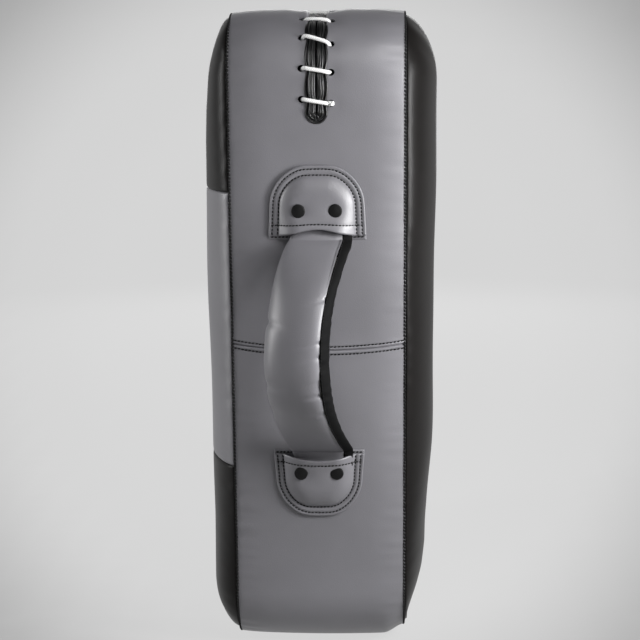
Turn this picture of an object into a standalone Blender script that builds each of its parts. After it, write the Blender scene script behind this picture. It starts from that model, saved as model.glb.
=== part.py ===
"""Kick pad: a large sewn leather shield round a foam block, with one padded handle on each side.

The pad stands on its lower end. The striking face looks along -Y, the back along +Y, and the two
handles are at +X (right) and -X (left). The origin is the middle of the footprint.
"""

import math

import bmesh
import bpy
from mathutils import Vector

MM = 0.001
GAP = 0.3 * MM
WELD = 0.01 * MM
PROBE = 0.5 * MM
SMOOTH_ANGLE = math.radians(35)

# body
HEIGHT = 600 * MM
WIDTH = 380 * MM
CORNER_RADIUS = 60 * MM
CORNER_STEPS = 8
LEAST_CORNER_SHARE = 0.1
LEATHER = 2.0 * MM
GUSSET_WIDTH = 160 * MM
SEAM_FLANGE = 8 * MM
SEAM_DRAW = 5 * MM
DRAW_WIDTH = 24 * MM
DRAW_POWER = 2.2
DRAW_SHARES = (0.25, 0.55, 1.0)
CROWN = 24 * MM
CROWN_RUN = 62 * MM
CROWN_POWER = 2.4
CROWN_SHARES = (0.01, 0.05, 0.13, 0.275, 0.5, 1.0, 1.77)
FACE_RISE = 3.5 * MM

# grey band across the striking face, from the seam at mid height
BAND_ABOVE = 139 * MM
BAND_BELOW = 117 * MM

# laced closure over the upper end
CLOSURE_DROP = 100 * MM
SLIT_HALF = 7.5 * MM
BINDING_OFFSET = 8.4 * MM
BINDING_WIDTH = 3.0 * MM
BINDING_HEIGHT = 2.2 * MM
BINDING_SHOULDER = 0.6
BINDING_END_STEPS = 8
LIP_WIDTH = 6.5 * MM
LIP_DEPTH = 1.9 * MM
LIP_RISE = 2.8 * MM
LIP_BULGE = 1.3 * MM
LIP_PINCH = 0.07
LIP_END_CLEARANCE = 3 * MM
LIP_TAPER = 8 * MM
LIP_END_SHARE = 0.25
LIP_TAIL_SHARES = (0.0, 0.25, 0.65)
LIP_STEPS = 3
LIP_SIDES = 6
LACE_RADIUS = 2.0 * MM
LACE_PITCH = 27.1 * MM
LACE_CROSSINGS = 19
LACE_SLOPE = 3.6 * MM
LACE_HOLE_OFFSET = 12.6 * MM
LACE_HOLE_CLEARANCE = 1.0 * MM
LACE_HOLE_SIDES = 6
LACE_SEAT = 0.7 * MM
LACE_SHOULDER = 3.6 * MM
LACE_ARCH = 0.3 * MM
LACE_EDGE_IN = 0.4 * MM
LACE_EDGE_HEIGHT = 2.6 * MM
LACE_TURN_RISE = 1.4 * MM
LACE_RUN_SHARES = (0.14, 0.5, 0.86)
KNOT_RADIUS = 3.6 * MM
TONGUE_HALF = 22 * MM
TONGUE_THICKNESS = 1.5 * MM
TONGUE_OVERRUN = 8 * MM
TROUGH_MARGIN = 3 * MM
SLIT_END_STEPS = 3

# handle anchors
ANCHOR_WIDTH = 88 * MM
ANCHOR_HEIGHT = 65 * MM
ANCHOR_RADIUS = 33 * MM
ANCHOR_CORNER_STEPS = 6
BASE_SKIRT = 4 * MM
ANCHOR_LEATHER = 1.8 * MM
COVER_RIM = 8 * MM
COVER_SLACK = 1 * MM
STRAP_WIDTH = 54 * MM
STRAP_THICKNESS = 6 * MM
RIVET_SPACING = 33 * MM
RIVET_HEIGHT = 23 * MM
RIVET_CAP_RADIUS = 6 * MM
RIVET_CAP_RISE = 2.4 * MM
RIVET_CAP_SHAPE = ((1.0, 0.0), (1.0, 0.35), (0.8, 0.8), (0.4, 1.0))
RIVET_POST_RADIUS = 2.0 * MM
RIVET_CLINCH_RADIUS = 3.2 * MM
RIVET_CLINCH_RISE = 1.5 * MM
RIVET_CLINCH_TAPER = 0.7
WASHER_RADIUS = 6 * MM
WASHER_THICKNESS = 1.5 * MM
PLATE_THICKNESS = 2.0 * MM
PLATE_WIDTH = 70 * MM
PLATE_HEIGHT = 44 * MM
POCKET_MARGIN = 1 * MM
RIVET_SEGMENTS = 10

# handle grip
HINGE_OUT = 12 * MM
ARCH_OUT = 60 * MM
MOUTH_OUT = 8 * MM
ARCH_POWER = 2.2
GRIP_HALF_LENGTH = 79 * MM
NECK_LENGTH = 19 * MM
GRIP_WIDTH_MID = 60 * MM
GRIP_WIDTH_END = 54 * MM
GRIP_DEPTH_MID = 32 * MM
GRIP_DEPTH_END = 10 * MM
GRIP_DEPTH_POWER = 0.8
GRIP_SHELL = 2.0 * MM
GRIP_LEAN = math.radians(-24)
LEAN_RUN = 28 * MM
GRIP_SQUARENESS = 2.4
UNDERSIDE_HALF_ANGLE = math.radians(56)
SEAM_CLEAR_ANGLE = math.radians(1.5)
WEBBING_WIDTH = 38 * MM
WEBBING_THICKNESS = 4 * MM
WEBBING_EDGE_ANGLE = math.radians(18)
COVER_FACETS = 10
UNDERSIDE_FACETS = 4
GRIP_RINGS = 10
NECK_RINGS = 4
NECK_SIDES = 14

HALF_WIDTH = WIDTH / 2
SEAM_Y = GUSSET_WIDTH / 2
MID_SEAM_Z = HEIGHT / 2
BAND_TOP_Z = MID_SEAM_Z + BAND_ABOVE
BAND_BOTTOM_Z = MID_SEAM_Z - BAND_BELOW
ANCHOR_MOUTH = GRIP_HALF_LENGTH + NECK_LENGTH
ANCHOR_OUTER = ANCHOR_MOUTH + ANCHOR_HEIGHT
BASE_TOP = GAP + ANCHOR_LEATHER
STRAP_BOTTOM = BASE_TOP + GAP
STRAP_TOP = STRAP_BOTTOM + STRAP_THICKNESS
STRAP_INSET = (ANCHOR_WIDTH - STRAP_WIDTH) / 2
COVER_TOP = STRAP_TOP + GAP + ANCHOR_LEATHER
PLATE_TOP = -LEATHER - GAP
PLATE_BOTTOM = PLATE_TOP - PLATE_THICKNESS
WASHER_TOP = PLATE_BOTTOM - GAP
WASHER_BOTTOM = WASHER_TOP - WASHER_THICKNESS
CLINCH_TOP = WASHER_BOTTOM - GAP
CLINCH_BOTTOM = CLINCH_TOP - RIVET_CLINCH_RISE
LACE_OVER = LIP_RISE + GAP + LACE_RADIUS
LACE_UNDER = -LEATHER - LACE_SEAT - LACE_RADIUS
TONGUE_TOP = LACE_UNDER - LACE_RADIUS - GAP
TONGUE_BOTTOM = TONGUE_TOP - TONGUE_THICKNESS
TOP_STRAIGHT = HALF_WIDTH - CORNER_RADIUS
CORNER_ARC = CORNER_RADIUS * math.pi / 2
CLOSURE_HALF = TOP_STRAIGHT + CORNER_ARC + CLOSURE_DROP - CORNER_RADIUS


def clear_scene():
    for found in list(bpy.data.objects):
        bpy.data.objects.remove(found, do_unlink=True)


def material(name, colour, roughness, metallic=0.0):
    made = bpy.data.materials.new(name)
    made.use_nodes = True
    shader = made.node_tree.nodes["Principled BSDF"]
    shader.inputs["Base Color"].default_value = (*colour, 1.0)
    shader.inputs["Roughness"].default_value = roughness
    shader.inputs["Metallic"].default_value = metallic
    return made


def add_object(name, bm, finish, parent=None, origin=None):
    """Make a solid from a bmesh, with its faces outwards and, where given, its origin moved."""
    bmesh.ops.remove_doubles(bm, verts=bm.verts, dist=WELD)
    bmesh.ops.recalc_face_normals(bm, faces=bm.faces)
    centre = Vector(origin) if origin else Vector((0, 0, 0))
    bmesh.ops.translate(bm, verts=bm.verts, vec=-centre)
    mesh = bpy.data.meshes.new(name)
    bm.to_mesh(mesh)
    bm.free()
    mesh.shade_smooth()
    mesh.set_sharp_from_angle(angle=SMOOTH_ANGLE)
    made = bpy.data.objects.new(name, mesh)
    bpy.context.collection.objects.link(made)
    made.data.materials.append(finish)
    if parent:
        made.parent = parent
    else:
        made.location = centre
    return made


def add_cutter(name, bm):
    bmesh.ops.recalc_face_normals(bm, faces=bm.faces)
    mesh = bpy.data.meshes.new(name)
    bm.to_mesh(mesh)
    bm.free()
    made = bpy.data.objects.new(name, mesh)
    bpy.context.collection.objects.link(made)
    made.hide_render = True
    made.display_type = "WIRE"
    return made


def boolean(target, cutter, operation="DIFFERENCE"):
    step = target.modifiers.new(cutter.name, "BOOLEAN")
    step.operation = operation
    step.solver = "EXACT"
    step.object = cutter


def loft(bm, rings, loop=False, caps=True, lean_back=False):
    """Join closed rings of equal length with faces, and cap the ends unless the rings form a loop.

    The first corner of a face sets how it splits into triangles. Two twisted surfaces that lie
    close together split alike where one of them has lean_back and its ring runs the other way.
    """
    rows = [[bm.verts.new(point) for point in ring] for ring in rings]
    count = len(rows[0])
    pairs = list(zip(rows, rows[1:]))
    if loop:
        pairs.append((rows[-1], rows[0]))
    for low, high in pairs:
        for i in range(count):
            j = (i + 1) % count
            face = (low[j], high[j], high[i], low[i]) if lean_back else (low[i], low[j], high[j], high[i])
            bm.faces.new(face)
    if caps and not loop:
        bm.faces.new(rows[0])
        bm.faces.new(rows[-1])
    return rows


def smoothstep(value):
    value = min(max(value, 0.0), 1.0)
    return value * value * (3 - 2 * value)


# Outline of the body, seen from the front


def outline_corners(inset):
    radius = max(CORNER_RADIUS - inset, CORNER_RADIUS * LEAST_CORNER_SHARE)
    x = HALF_WIDTH - inset - radius
    low = inset + radius
    high = HEIGHT - inset - radius
    return radius, ((x, high, 0), (-x, high, 90), (-x, low, 180), (x, low, 270))


def outline_ring(inset, y):
    """Closed ring of points round the body, starting at the lower end of the right upper corner."""
    radius, corners = outline_corners(inset)
    ring = []
    for cx, cz, start in corners:
        for step in range(CORNER_STEPS + 1):
            angle = math.radians(start + 90 * step / CORNER_STEPS)
            point = Vector((cx + radius * math.cos(angle), y, cz + radius * math.sin(angle)))
            ring.append(point)
    return ring


def wrap(s, y, n):
    """Place a point over the upper end: s along the outline from the top centre, n outwards."""
    side = 1 if s >= 0 else -1
    run = abs(s)
    if run <= TOP_STRAIGHT:
        return Vector((side * run, y, HEIGHT + n))
    if run <= TOP_STRAIGHT + CORNER_ARC:
        angle = (run - TOP_STRAIGHT) / CORNER_RADIUS
        reach = CORNER_RADIUS + n
        x = TOP_STRAIGHT + reach * math.sin(angle)
        z = HEIGHT - CORNER_RADIUS + reach * math.cos(angle)
        return Vector((side * x, y, z))
    drop = run - TOP_STRAIGHT - CORNER_ARC
    return Vector((side * (HALF_WIDTH + n), y, HEIGHT - CORNER_RADIUS - drop))


def wrap_stations(half_length, shift=0.0):
    """Places along the outline where a wrapped piece has a ring, or between those of the gusset."""
    stations = [0.0, TOP_STRAIGHT + CORNER_ARC * shift / CORNER_STEPS]
    for step in range(1, CORNER_STEPS + (1 if shift == 0 else 0)):
        stations.append(TOP_STRAIGHT + CORNER_ARC * (step + shift) / CORNER_STEPS)
    stations.append(half_length)
    return [-s for s in reversed(stations[1:])] + stations


# Cover sections, as (inset, depth) pairs from the outline


def draw_in(y):
    """How far the gusset is drawn in by its seam at a depth."""
    t = max(0.0, (abs(y) - (SEAM_Y - DRAW_WIDTH)) / DRAW_WIDTH)
    return SEAM_DRAW * t**DRAW_POWER


def draw_depths():
    return [SEAM_Y - DRAW_WIDTH * share for share in DRAW_SHARES]


def gusset_profile():
    depths = [SEAM_Y] + draw_depths()
    outer = [(draw_in(y), y) for y in depths]
    outer += [(inset, -y) for inset, y in reversed(outer)]
    flange = SEAM_DRAW + SEAM_FLANGE
    inner_y = SEAM_Y - LEATHER
    inner = [(flange, SEAM_Y), (flange, inner_y), (SEAM_DRAW + LEATHER, inner_y)]
    inner += [(draw_in(y) + LEATHER, y) for y in depths[1:]]
    return outer + [(inset, -y) for inset, y in inner] + list(reversed(inner))


def dome_depth(inset):
    """Height of a face's crown over its seam, at a distance in from the seam."""
    t = min(inset / CROWN_RUN, 1.0)
    side = math.sqrt(1 - (1 - t) ** CROWN_POWER)
    reach = HALF_WIDTH - SEAM_DRAW - CROWN_RUN
    rise = min(max(inset - CROWN_RUN, 0.0) / reach, 1.0)
    return CROWN * side + FACE_RISE * math.sin(rise * math.pi / 2)


def dome_slope(inset):
    low = max(inset - PROBE, 0.0)
    high = inset + PROBE
    return (dome_depth(high) - dome_depth(low)) / (high - low)


def dome_rings(seam_y, shrink, side):
    """Rings over a face's crown, shrunk along the surface's normal by a thickness."""
    rings = []
    shares = CROWN_SHARES[::2] if shrink else CROWN_SHARES
    for share in shares:
        inset = CROWN_RUN * share
        slope = dome_slope(inset)
        length = math.hypot(1.0, slope)
        ring_inset = SEAM_DRAW + inset + shrink * slope / length
        depth = dome_depth(inset) - shrink / length
        rings.append((ring_inset, side * (seam_y + depth)))
    return rings


def ring_stack(pairs):
    return [outline_ring(inset, y) for inset, y in pairs]


# Panels of the two faces


def face_shell(side):
    """A face's leather: a crowned sheet with its seam allowance turned in under it."""
    seam_y = SEAM_Y + GAP
    flange = SEAM_DRAW + SEAM_FLANGE
    outer = dome_rings(seam_y, 0.0, side)
    inner = dome_rings(seam_y, LEATHER, side)
    inner = [pair for pair in inner if abs(pair[1]) > seam_y + LEATHER]
    pairs = list(reversed(outer))
    pairs += [(SEAM_DRAW, side * seam_y), (flange, side * seam_y)]
    pairs += [(flange, side * (seam_y + LEATHER)), (inner[0][0], side * (seam_y + LEATHER))]
    pairs += inner
    bm = bmesh.new()
    loft(bm, ring_stack(pairs))
    return bm


def box_cutter(name, low, high):
    bm = bmesh.new()
    bmesh.ops.create_cube(bm, size=1.0)
    size = Vector(high) - Vector(low)
    bmesh.ops.scale(bm, verts=bm.verts, vec=size)
    bmesh.ops.translate(bm, verts=bm.verts, vec=(Vector(low) + Vector(high)) / 2)
    return add_cutter(name, bm)


def make_faces(finishes):
    bands = (
        ("front_upper_panel", BAND_TOP_Z + GAP / 2, HEIGHT + CROWN, "black_leather"),
        ("front_middle_panel", BAND_BOTTOM_Z + GAP / 2, BAND_TOP_Z - GAP / 2, "grey_leather"),
        ("front_lower_panel", -CROWN, BAND_BOTTOM_Z - GAP / 2, "black_leather"),
    )
    for name, low, high, finish in bands:
        panel = add_object(name, face_shell(-1), finishes[finish])
        reach = SEAM_Y + CROWN * 2
        keep = box_cutter(name + "_keep", (-WIDTH, -reach, low), (WIDTH, 0, high))
        boolean(panel, keep, "INTERSECT")
    add_object("back_panel", face_shell(1), finishes["black_leather"])


# Gussets round the side


def make_gussets(finishes, cutters):
    profile = gusset_profile()
    rings = [outline_ring(inset, y) for inset, y in profile]
    count = len(rings[0])
    half = count // 2
    halves = (("upper_gusset", 0, MID_SEAM_Z + GAP / 2), ("lower_gusset", half, MID_SEAM_Z - GAP / 2))
    for name, first, seam_z in halves:
        stations = []
        for i in range(half):
            stations.append([ring[(first + i) % count] for ring in rings])
        start = [Vector((p.x, p.y, seam_z)) for p in stations[0]]
        end = [Vector((p.x, p.y, seam_z)) for p in stations[-1]]
        bm = bmesh.new()
        loft(bm, [start] + stations + [end])
        gusset = add_object(name, bm, finishes["grey_leather"])
        for cutter in cutters[name]:
            boolean(gusset, cutter)


# Foam inside


def make_foams(finishes, cutters):
    inner_y = SEAM_Y - LEATHER - GAP
    skin = LEATHER + GAP
    flange = SEAM_DRAW + SEAM_FLANGE + GAP
    face_y = SEAM_Y + LEATHER
    half = [(flange, face_y), (flange, inner_y), (SEAM_DRAW + skin, inner_y)]
    half += [(draw_in(y) + skin, y) for y in draw_depths()]
    pairs = [(inset, -y) for inset, y in half] + list(reversed(half))
    bm = bmesh.new()
    loft(bm, ring_stack(pairs))
    core = add_object("core_foam", bm, finishes["dense_foam"])
    for cutter in cutters["core_foam"]:
        boolean(core, cutter)
    for name, side in (("strike_foam", -1), ("back_foam", 1)):
        seam_y = SEAM_Y + GAP
        floor = face_y + GAP * 2
        inner = dome_rings(seam_y, skin, side)
        inner = [pair for pair in inner if abs(pair[1]) > floor + GAP]
        pairs = [(inner[0][0], side * floor)] + inner
        bm = bmesh.new()
        loft(bm, ring_stack(pairs))
        add_object(name, bm, finishes["soft_foam"])


# Laced closure


def stadium(half_length, half_width, end_steps):
    """Closed path of (s, y) pairs with its outward direction, round a slit with round ends."""
    straight = half_length - half_width
    stations = wrap_stations(straight)
    path = [(s, -half_width, 0.0, -1.0) for s in stations]
    for step in range(1, end_steps):
        angle = -math.pi / 2 + math.pi * step / end_steps
        out = (math.cos(angle), math.sin(angle))
        path.append((straight + half_width * out[0], half_width * out[1], *out))
    path += [(s, half_width, 0.0, 1.0) for s in reversed(stations)]
    for step in range(1, end_steps):
        angle = math.pi / 2 + math.pi * step / end_steps
        out = (math.cos(angle), math.sin(angle))
        path.append((-straight + half_width * out[0], half_width * out[1], *out))
    return path


def wrapped_prism(bm, path, low, high):
    """A solid whose outline is a closed path on the outline, between two heights."""
    rings = [[wrap(s, y, n) for s, y, *_ in path] for n in (low, high)]
    lower, upper = loft(bm, rings, caps=False)
    count = len(path)
    half = count // 2
    for row in (lower, upper):
        for i in range(half - 1):
            a, b = row[i], row[i + 1]
            c, d = row[count - 2 - i], row[count - 1 - i]
            bm.faces.new((a, b, c, d))
    return bm


def mirrored_path(half_length, half_width, shift=0.0):
    """A stadium path whose points pair up across y = 0, for a prism with tidy faces."""
    straight = half_length - half_width
    stations = [(s, half_width) for s in wrap_stations(straight, shift)]
    rise = []
    for step in range(1, SLIT_END_STEPS + 1):
        angle = math.pi / 2 * step / (SLIT_END_STEPS + 1)
        rise.append((straight + half_width * math.sin(angle), half_width * math.cos(angle)))
    low = [(-s, y) for s, y in reversed(rise)]
    side = low + stations + rise
    return [(s, -y) for s, y in side] + [(s, y) for s, y in reversed(side)]


def crossing_stations():
    first = -(LACE_CROSSINGS - 1) / 2 * LACE_PITCH
    return [first + i * LACE_PITCH for i in range(LACE_CROSSINGS)]


def make_binding(finishes):
    path = stadium(CLOSURE_HALF, BINDING_OFFSET, BINDING_END_STEPS)
    half = BINDING_WIDTH / 2
    low = GAP
    high = GAP + BINDING_HEIGHT
    shoulder = low + BINDING_HEIGHT * BINDING_SHOULDER
    section = ((-half, low), (half, low), (half, shoulder), (0.0, high), (-half, shoulder))
    rings = []
    for s, y, out_s, out_y in path:
        rings.append([wrap(s + out_s * a, y + out_y * a, n) for a, n in section])
    bm = bmesh.new()
    loft(bm, rings, loop=True)
    add_object("closure_binding", bm, finishes["black_leather"])


def make_lips(finishes):
    """Two padded rolls that swell between the lace's crossings and are pinched under them."""
    reach = CLOSURE_HALF - BINDING_WIDTH - LIP_END_CLEARANCE
    stations = []
    for s in crossing_stations()[:-1]:
        stations += [s + LACE_PITCH * i / LIP_STEPS for i in range(LIP_STEPS)]
    stations += [crossing_stations()[-1]]
    first = stations[0]
    tail = reach + first
    before = [-reach + tail * share for share in LIP_TAIL_SHARES]
    stations = before + stations + [-s for s in reversed(before)]
    for name, side in (("closure_front_lip", -1), ("closure_back_lip", 1)):
        rings = []
        for s in stations:
            phase = math.cos(2 * math.pi * (s - first) / LACE_PITCH)
            swell = (1 - phase) / 2 if abs(s) <= abs(first) else 0.0
            end = min(1.0, math.sqrt(max(reach - abs(s), 0.0) / LIP_TAPER) + LIP_END_SHARE)
            top = (LIP_RISE + LIP_BULGE * swell) * end
            width = LIP_WIDTH * (1 - LIP_PINCH * (1 - swell)) * (1 + end) / 2
            middle = side * (GAP + width / 2)
            half_height = (top + LIP_DEPTH) / 2
            centre = (top - LIP_DEPTH) / 2
            ring = []
            for i in range(LIP_SIDES):
                angle = 2 * math.pi * (i + 0.5) / LIP_SIDES
                across = middle + width / 2 * math.cos(angle)
                ring.append(wrap(s, across, centre + half_height * math.sin(angle)))
            rings.append(ring)
        bm = bmesh.new()
        loft(bm, rings)
        add_object(name, bm, finishes["black_leather"])


def lace_points():
    """The lace's route: over the slit, in at the back hole, slanting under to the next front hole."""
    hole = LACE_HOLE_OFFSET
    points = []
    for s in crossing_stations():
        front = s + LACE_SLOPE / 2
        back = s - LACE_SLOPE / 2
        over = (
            (-hole, LACE_UNDER + LACE_TURN_RISE, front),
            (-hole + LACE_EDGE_IN, LACE_EDGE_HEIGHT, front),
            (-hole + LACE_SHOULDER, LACE_OVER, front),
            (0.0, LACE_OVER + LACE_ARCH, s),
            (hole - LACE_SHOULDER, LACE_OVER, back),
            (hole - LACE_EDGE_IN, LACE_EDGE_HEIGHT, back),
            (hole, LACE_UNDER + LACE_TURN_RISE, back),
        )
        points += [(along, y, n) for y, n, along in over]
        if s < crossing_stations()[-1] - LACE_PITCH / 2:
            next_front = s + LACE_PITCH + LACE_SLOPE / 2
            for share in LACE_RUN_SHARES:
                across = hole * (1 - 2 * share)
                points.append((back + (next_front - back) * share, across, LACE_UNDER))
    end_run = 2
    return points[end_run:-end_run]


def make_lace(finishes):
    curve = bpy.data.curves.new("closure_lace", "CURVE")
    curve.dimensions = "3D"
    curve.bevel_depth = LACE_RADIUS
    curve.bevel_resolution = 1
    curve.use_fill_caps = True
    route = lace_points()
    points = [wrap(s, y, n) for s, y, n in route]
    spline = curve.splines.new("POLY")
    spline.points.add(len(points) - 1)
    for target, point in zip(spline.points, points):
        target.co = (*point, 1.0)
    lace = bpy.data.objects.new("closure_lace", curve)
    bpy.context.collection.objects.link(lace)
    curve.materials.append(finishes["white_cord"])
    for name, (s, y, _) in (("lace_knot_left", route[0]), ("lace_knot_right", route[-1])):
        side = 1 if y > 0 else -1
        bm = bmesh.new()
        bmesh.ops.create_icosphere(bm, subdivisions=2, radius=KNOT_RADIUS)
        centre = wrap(s, y + side * (GAP + KNOT_RADIUS), GAP + KNOT_RADIUS)
        bmesh.ops.translate(bm, verts=bm.verts, vec=centre)
        add_object(name, bm, finishes["white_cord"])


def make_tongue(finishes):
    path = mirrored_path(CLOSURE_HALF + TONGUE_OVERRUN, TONGUE_HALF)
    bm = bmesh.new()
    wrapped_prism(bm, path, TONGUE_BOTTOM, TONGUE_TOP)
    add_object("closure_tongue", bm, finishes["black_fabric"])


def slit_cutter():
    """Cuts the slit. Its rings lie between the gusset's, so no two of their edges meet."""
    bm = bmesh.new()
    path = mirrored_path(CLOSURE_HALF - BINDING_OFFSET + SLIT_HALF, SLIT_HALF, shift=0.5)
    wrapped_prism(bm, path, -LEATHER * 2, LEATHER)
    return add_cutter("slit", bm)


def trough_cutter():
    """Cuts room for the tongue. Its rings lie between the foam's, so no two of their edges meet."""
    bm = bmesh.new()
    length = CLOSURE_HALF + TONGUE_OVERRUN + TROUGH_MARGIN
    path = mirrored_path(length, TONGUE_HALF + TROUGH_MARGIN, shift=0.5)
    wrapped_prism(bm, path, TONGUE_BOTTOM - GAP * 2, LEATHER)
    return add_cutter("closure_trough", bm)


def lace_hole_cutter():
    radius = LACE_RADIUS + LACE_HOLE_CLEARANCE
    bm = bmesh.new()
    for s in crossing_stations():
        for side in (-1, 1):
            centre = s - side * LACE_SLOPE / 2
            rings = []
            for n in (-LEATHER * 2, LEATHER):
                ring = []
                for i in range(LACE_HOLE_SIDES):
                    angle = 2 * math.pi * i / LACE_HOLE_SIDES
                    along = centre + radius * math.cos(angle)
                    across = side * LACE_HOLE_OFFSET + radius * math.sin(angle)
                    ring.append(wrap(along, across, n))
                rings.append(ring)
            loft(bm, rings)
    return add_cutter("lace_holes", bm)


# Handle anchors, placed by (out, y, up): out from the gusset's side, up from the handle's middle


def side_point(side, out, y, up):
    return Vector((side * (HALF_WIDTH + out), y, MID_SEAM_Z + up))


def anchor_outline(inset, mouth):
    """U-shaped run of (y, up) pairs from one end of the mouth round the outer edge to the other."""
    half = ANCHOR_WIDTH / 2 - inset
    top = ANCHOR_OUTER - inset
    radius = ANCHOR_RADIUS - inset
    points = [(-half, mouth)]
    for centre, first in ((radius - half, math.pi), (half - radius, math.pi / 2)):
        for step in range(ANCHOR_CORNER_STEPS + 1):
            angle = first - math.pi / 2 * step / ANCHOR_CORNER_STEPS
            points.append((centre + radius * math.cos(angle), top - radius + radius * math.sin(angle)))
    points.append((half, mouth))
    return points


def flat_piece(name, side, turn, outline, low, high, finish):
    """A flat layer on the gusset's side, from an outline of (y, up) pairs."""
    rings = []
    for out in (low, high):
        rings.append([side_point(side, out, y, turn * up) for y, up in outline])
    bm = bmesh.new()
    loft(bm, rings)
    return add_object(name, bm, finish)


def rectangle(half_width, low, high):
    return [(-half_width, low), (half_width, low), (half_width, high), (-half_width, high)]


def anchor_cover(name, side, turn, finish):
    """The top layer: a flat rim, a ramp and a raised middle over the strap, open at the mouth."""
    rim_top = STRAP_BOTTOM + ANCHOR_LEATHER
    plateau = STRAP_INSET - COVER_SLACK
    shoulder = ANCHOR_LEATHER / 2
    outer = [(0.0, rim_top), (COVER_RIM, rim_top), (plateau - ANCHOR_LEATHER, COVER_TOP - shoulder)]
    outer += [(plateau + ANCHOR_LEATHER, COVER_TOP)]
    inner = [(0.0, STRAP_BOTTOM), (COVER_RIM + shoulder, STRAP_BOTTOM)]
    inner += [(plateau, COVER_TOP - ANCHOR_LEATHER)]
    bm = bmesh.new()
    rows = []
    for inset, out in outer + list(reversed(inner)):
        ring = anchor_outline(inset, ANCHOR_MOUTH)
        rows.append([bm.verts.new(side_point(side, out, y, turn * up)) for y, up in ring])
    split = len(outer)
    links = [(i, i + 1) for i in range(len(rows) - 1) if i != split - 1]
    links.append((len(rows) - 1, 0))
    for a, b in links:
        for i in range(len(rows[0]) - 1):
            bm.faces.new((rows[a][i], rows[a][i + 1], rows[b][i + 1], rows[b][i]))
    bm.faces.new(rows[split - 1])
    bm.faces.new(rows[split])
    left = [row[0] for row in rows]
    right = [row[-1] for row in rows]
    bm.faces.new(left[:split] + right[:split][::-1] + right[split:][::-1] + left[split:])
    return add_object(name, bm, finish)


def rivet_places():
    up = ANCHOR_MOUTH + RIVET_HEIGHT
    return [(y, up) for y in (-RIVET_SPACING / 2, RIVET_SPACING / 2)]


def turned(bm, side, y, up, profile, loop=False):
    """A round piece on a line square to the side, from (radius, out) pairs."""
    rings = []
    for radius, out in profile:
        ring = []
        for i in range(RIVET_SEGMENTS):
            angle = 2 * math.pi * i / RIVET_SEGMENTS
            ring.append(side_point(side, out, y + radius * math.cos(angle), up + radius * math.sin(angle)))
        rings.append(ring)
    loft(bm, rings, loop=loop)


def washer_profile():
    bore = RIVET_POST_RADIUS + GAP
    rim = WASHER_RADIUS
    return [(bore, WASHER_BOTTOM), (rim, WASHER_BOTTOM), (rim, WASHER_TOP), (bore, WASHER_TOP)]


def rivet_profile():
    clinch = RIVET_CLINCH_RADIUS
    post = RIVET_POST_RADIUS
    seat = COVER_TOP + GAP
    profile = [(clinch * RIVET_CLINCH_TAPER, CLINCH_BOTTOM), (clinch, CLINCH_TOP)]
    profile += [(post, CLINCH_TOP), (post, seat)]
    for across, rise in RIVET_CAP_SHAPE:
        profile.append((RIVET_CAP_RADIUS * across, seat + RIVET_CAP_RISE * rise))
    return profile


def rivet_hole_cutter(name, side, turn):
    bm = bmesh.new()
    radius = RIVET_POST_RADIUS + GAP
    low = CLINCH_BOTTOM - LEATHER
    high = COVER_TOP + LEATHER
    for y, up in rivet_places():
        turned(bm, side, y, turn * up, [(radius, low), (radius, high)])
    return add_cutter(name, bm)


def pocket_cutter(name, side, turn):
    """Room in the foam for a backing plate, its washers and the rivets' clinched ends."""
    middle = ANCHOR_MOUTH + RIVET_HEIGHT
    half_width = PLATE_WIDTH / 2 + POCKET_MARGIN
    half_height = PLATE_HEIGHT / 2 + POCKET_MARGIN
    bm = bmesh.new()
    rings = []
    for out in (CLINCH_BOTTOM - GAP, LEATHER):
        outline = rectangle(half_width, middle - half_height, middle + half_height)
        rings.append([side_point(side, out, y, turn * up) for y, up in outline])
    loft(bm, rings)
    return add_cutter(name, bm)


def make_anchor(hand, side, level, turn, finishes, holes):
    label = f"{hand}_{level}"
    grey = finishes["grey_leather"]
    webbing = finishes["webbing"]
    outline = anchor_outline(0.0, ANCHOR_MOUTH - BASE_SKIRT)
    base = flat_piece(f"{label}_anchor_base", side, turn, outline, GAP, BASE_TOP, grey)
    cover = anchor_cover(f"{label}_anchor_cover", side, turn, grey)
    outline = anchor_outline(STRAP_INSET, ANCHOR_MOUTH)
    tab = flat_piece(f"{label}_strap_tab", side, turn, outline, STRAP_BOTTOM, STRAP_TOP, webbing)
    middle = ANCHOR_MOUTH + RIVET_HEIGHT
    outline = rectangle(PLATE_WIDTH / 2, middle - PLATE_HEIGHT / 2, middle + PLATE_HEIGHT / 2)
    plate = flat_piece(f"{label}_backing_plate", side, turn, outline, PLATE_BOTTOM, PLATE_TOP, webbing)
    for piece in (base, cover, tab, plate):
        boolean(piece, holes)
    for (y, up), place in zip(rivet_places(), ("front", "back")):
        bm = bmesh.new()
        turned(bm, side, y, turn * up, rivet_profile())
        add_object(f"{label}_{place}_rivet", bm, finishes["black_metal"])
        bm = bmesh.new()
        turned(bm, side, y, turn * up, washer_profile(), loop=True)
        add_object(f"{label}_{place}_washer", bm, finishes["steel"])


# Handle grips


def arch(up):
    """How far the handle stands out at a height, as a share: 1 at its middle, 0 at the mouths."""
    return 1 - min(abs(up) / ANCHOR_MOUTH, 1.0) ** ARCH_POWER


def lean(up):
    return GRIP_LEAN * smoothstep((ANCHOR_MOUTH - abs(up)) / LEAN_RUN)


def grip_size(up):
    share = arch(up)
    width = GRIP_WIDTH_END + (GRIP_WIDTH_MID - GRIP_WIDTH_END) * share
    depth = GRIP_DEPTH_END + (GRIP_DEPTH_MID - GRIP_DEPTH_END) * share**GRIP_DEPTH_POWER
    return width / 2, depth / 2


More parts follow.
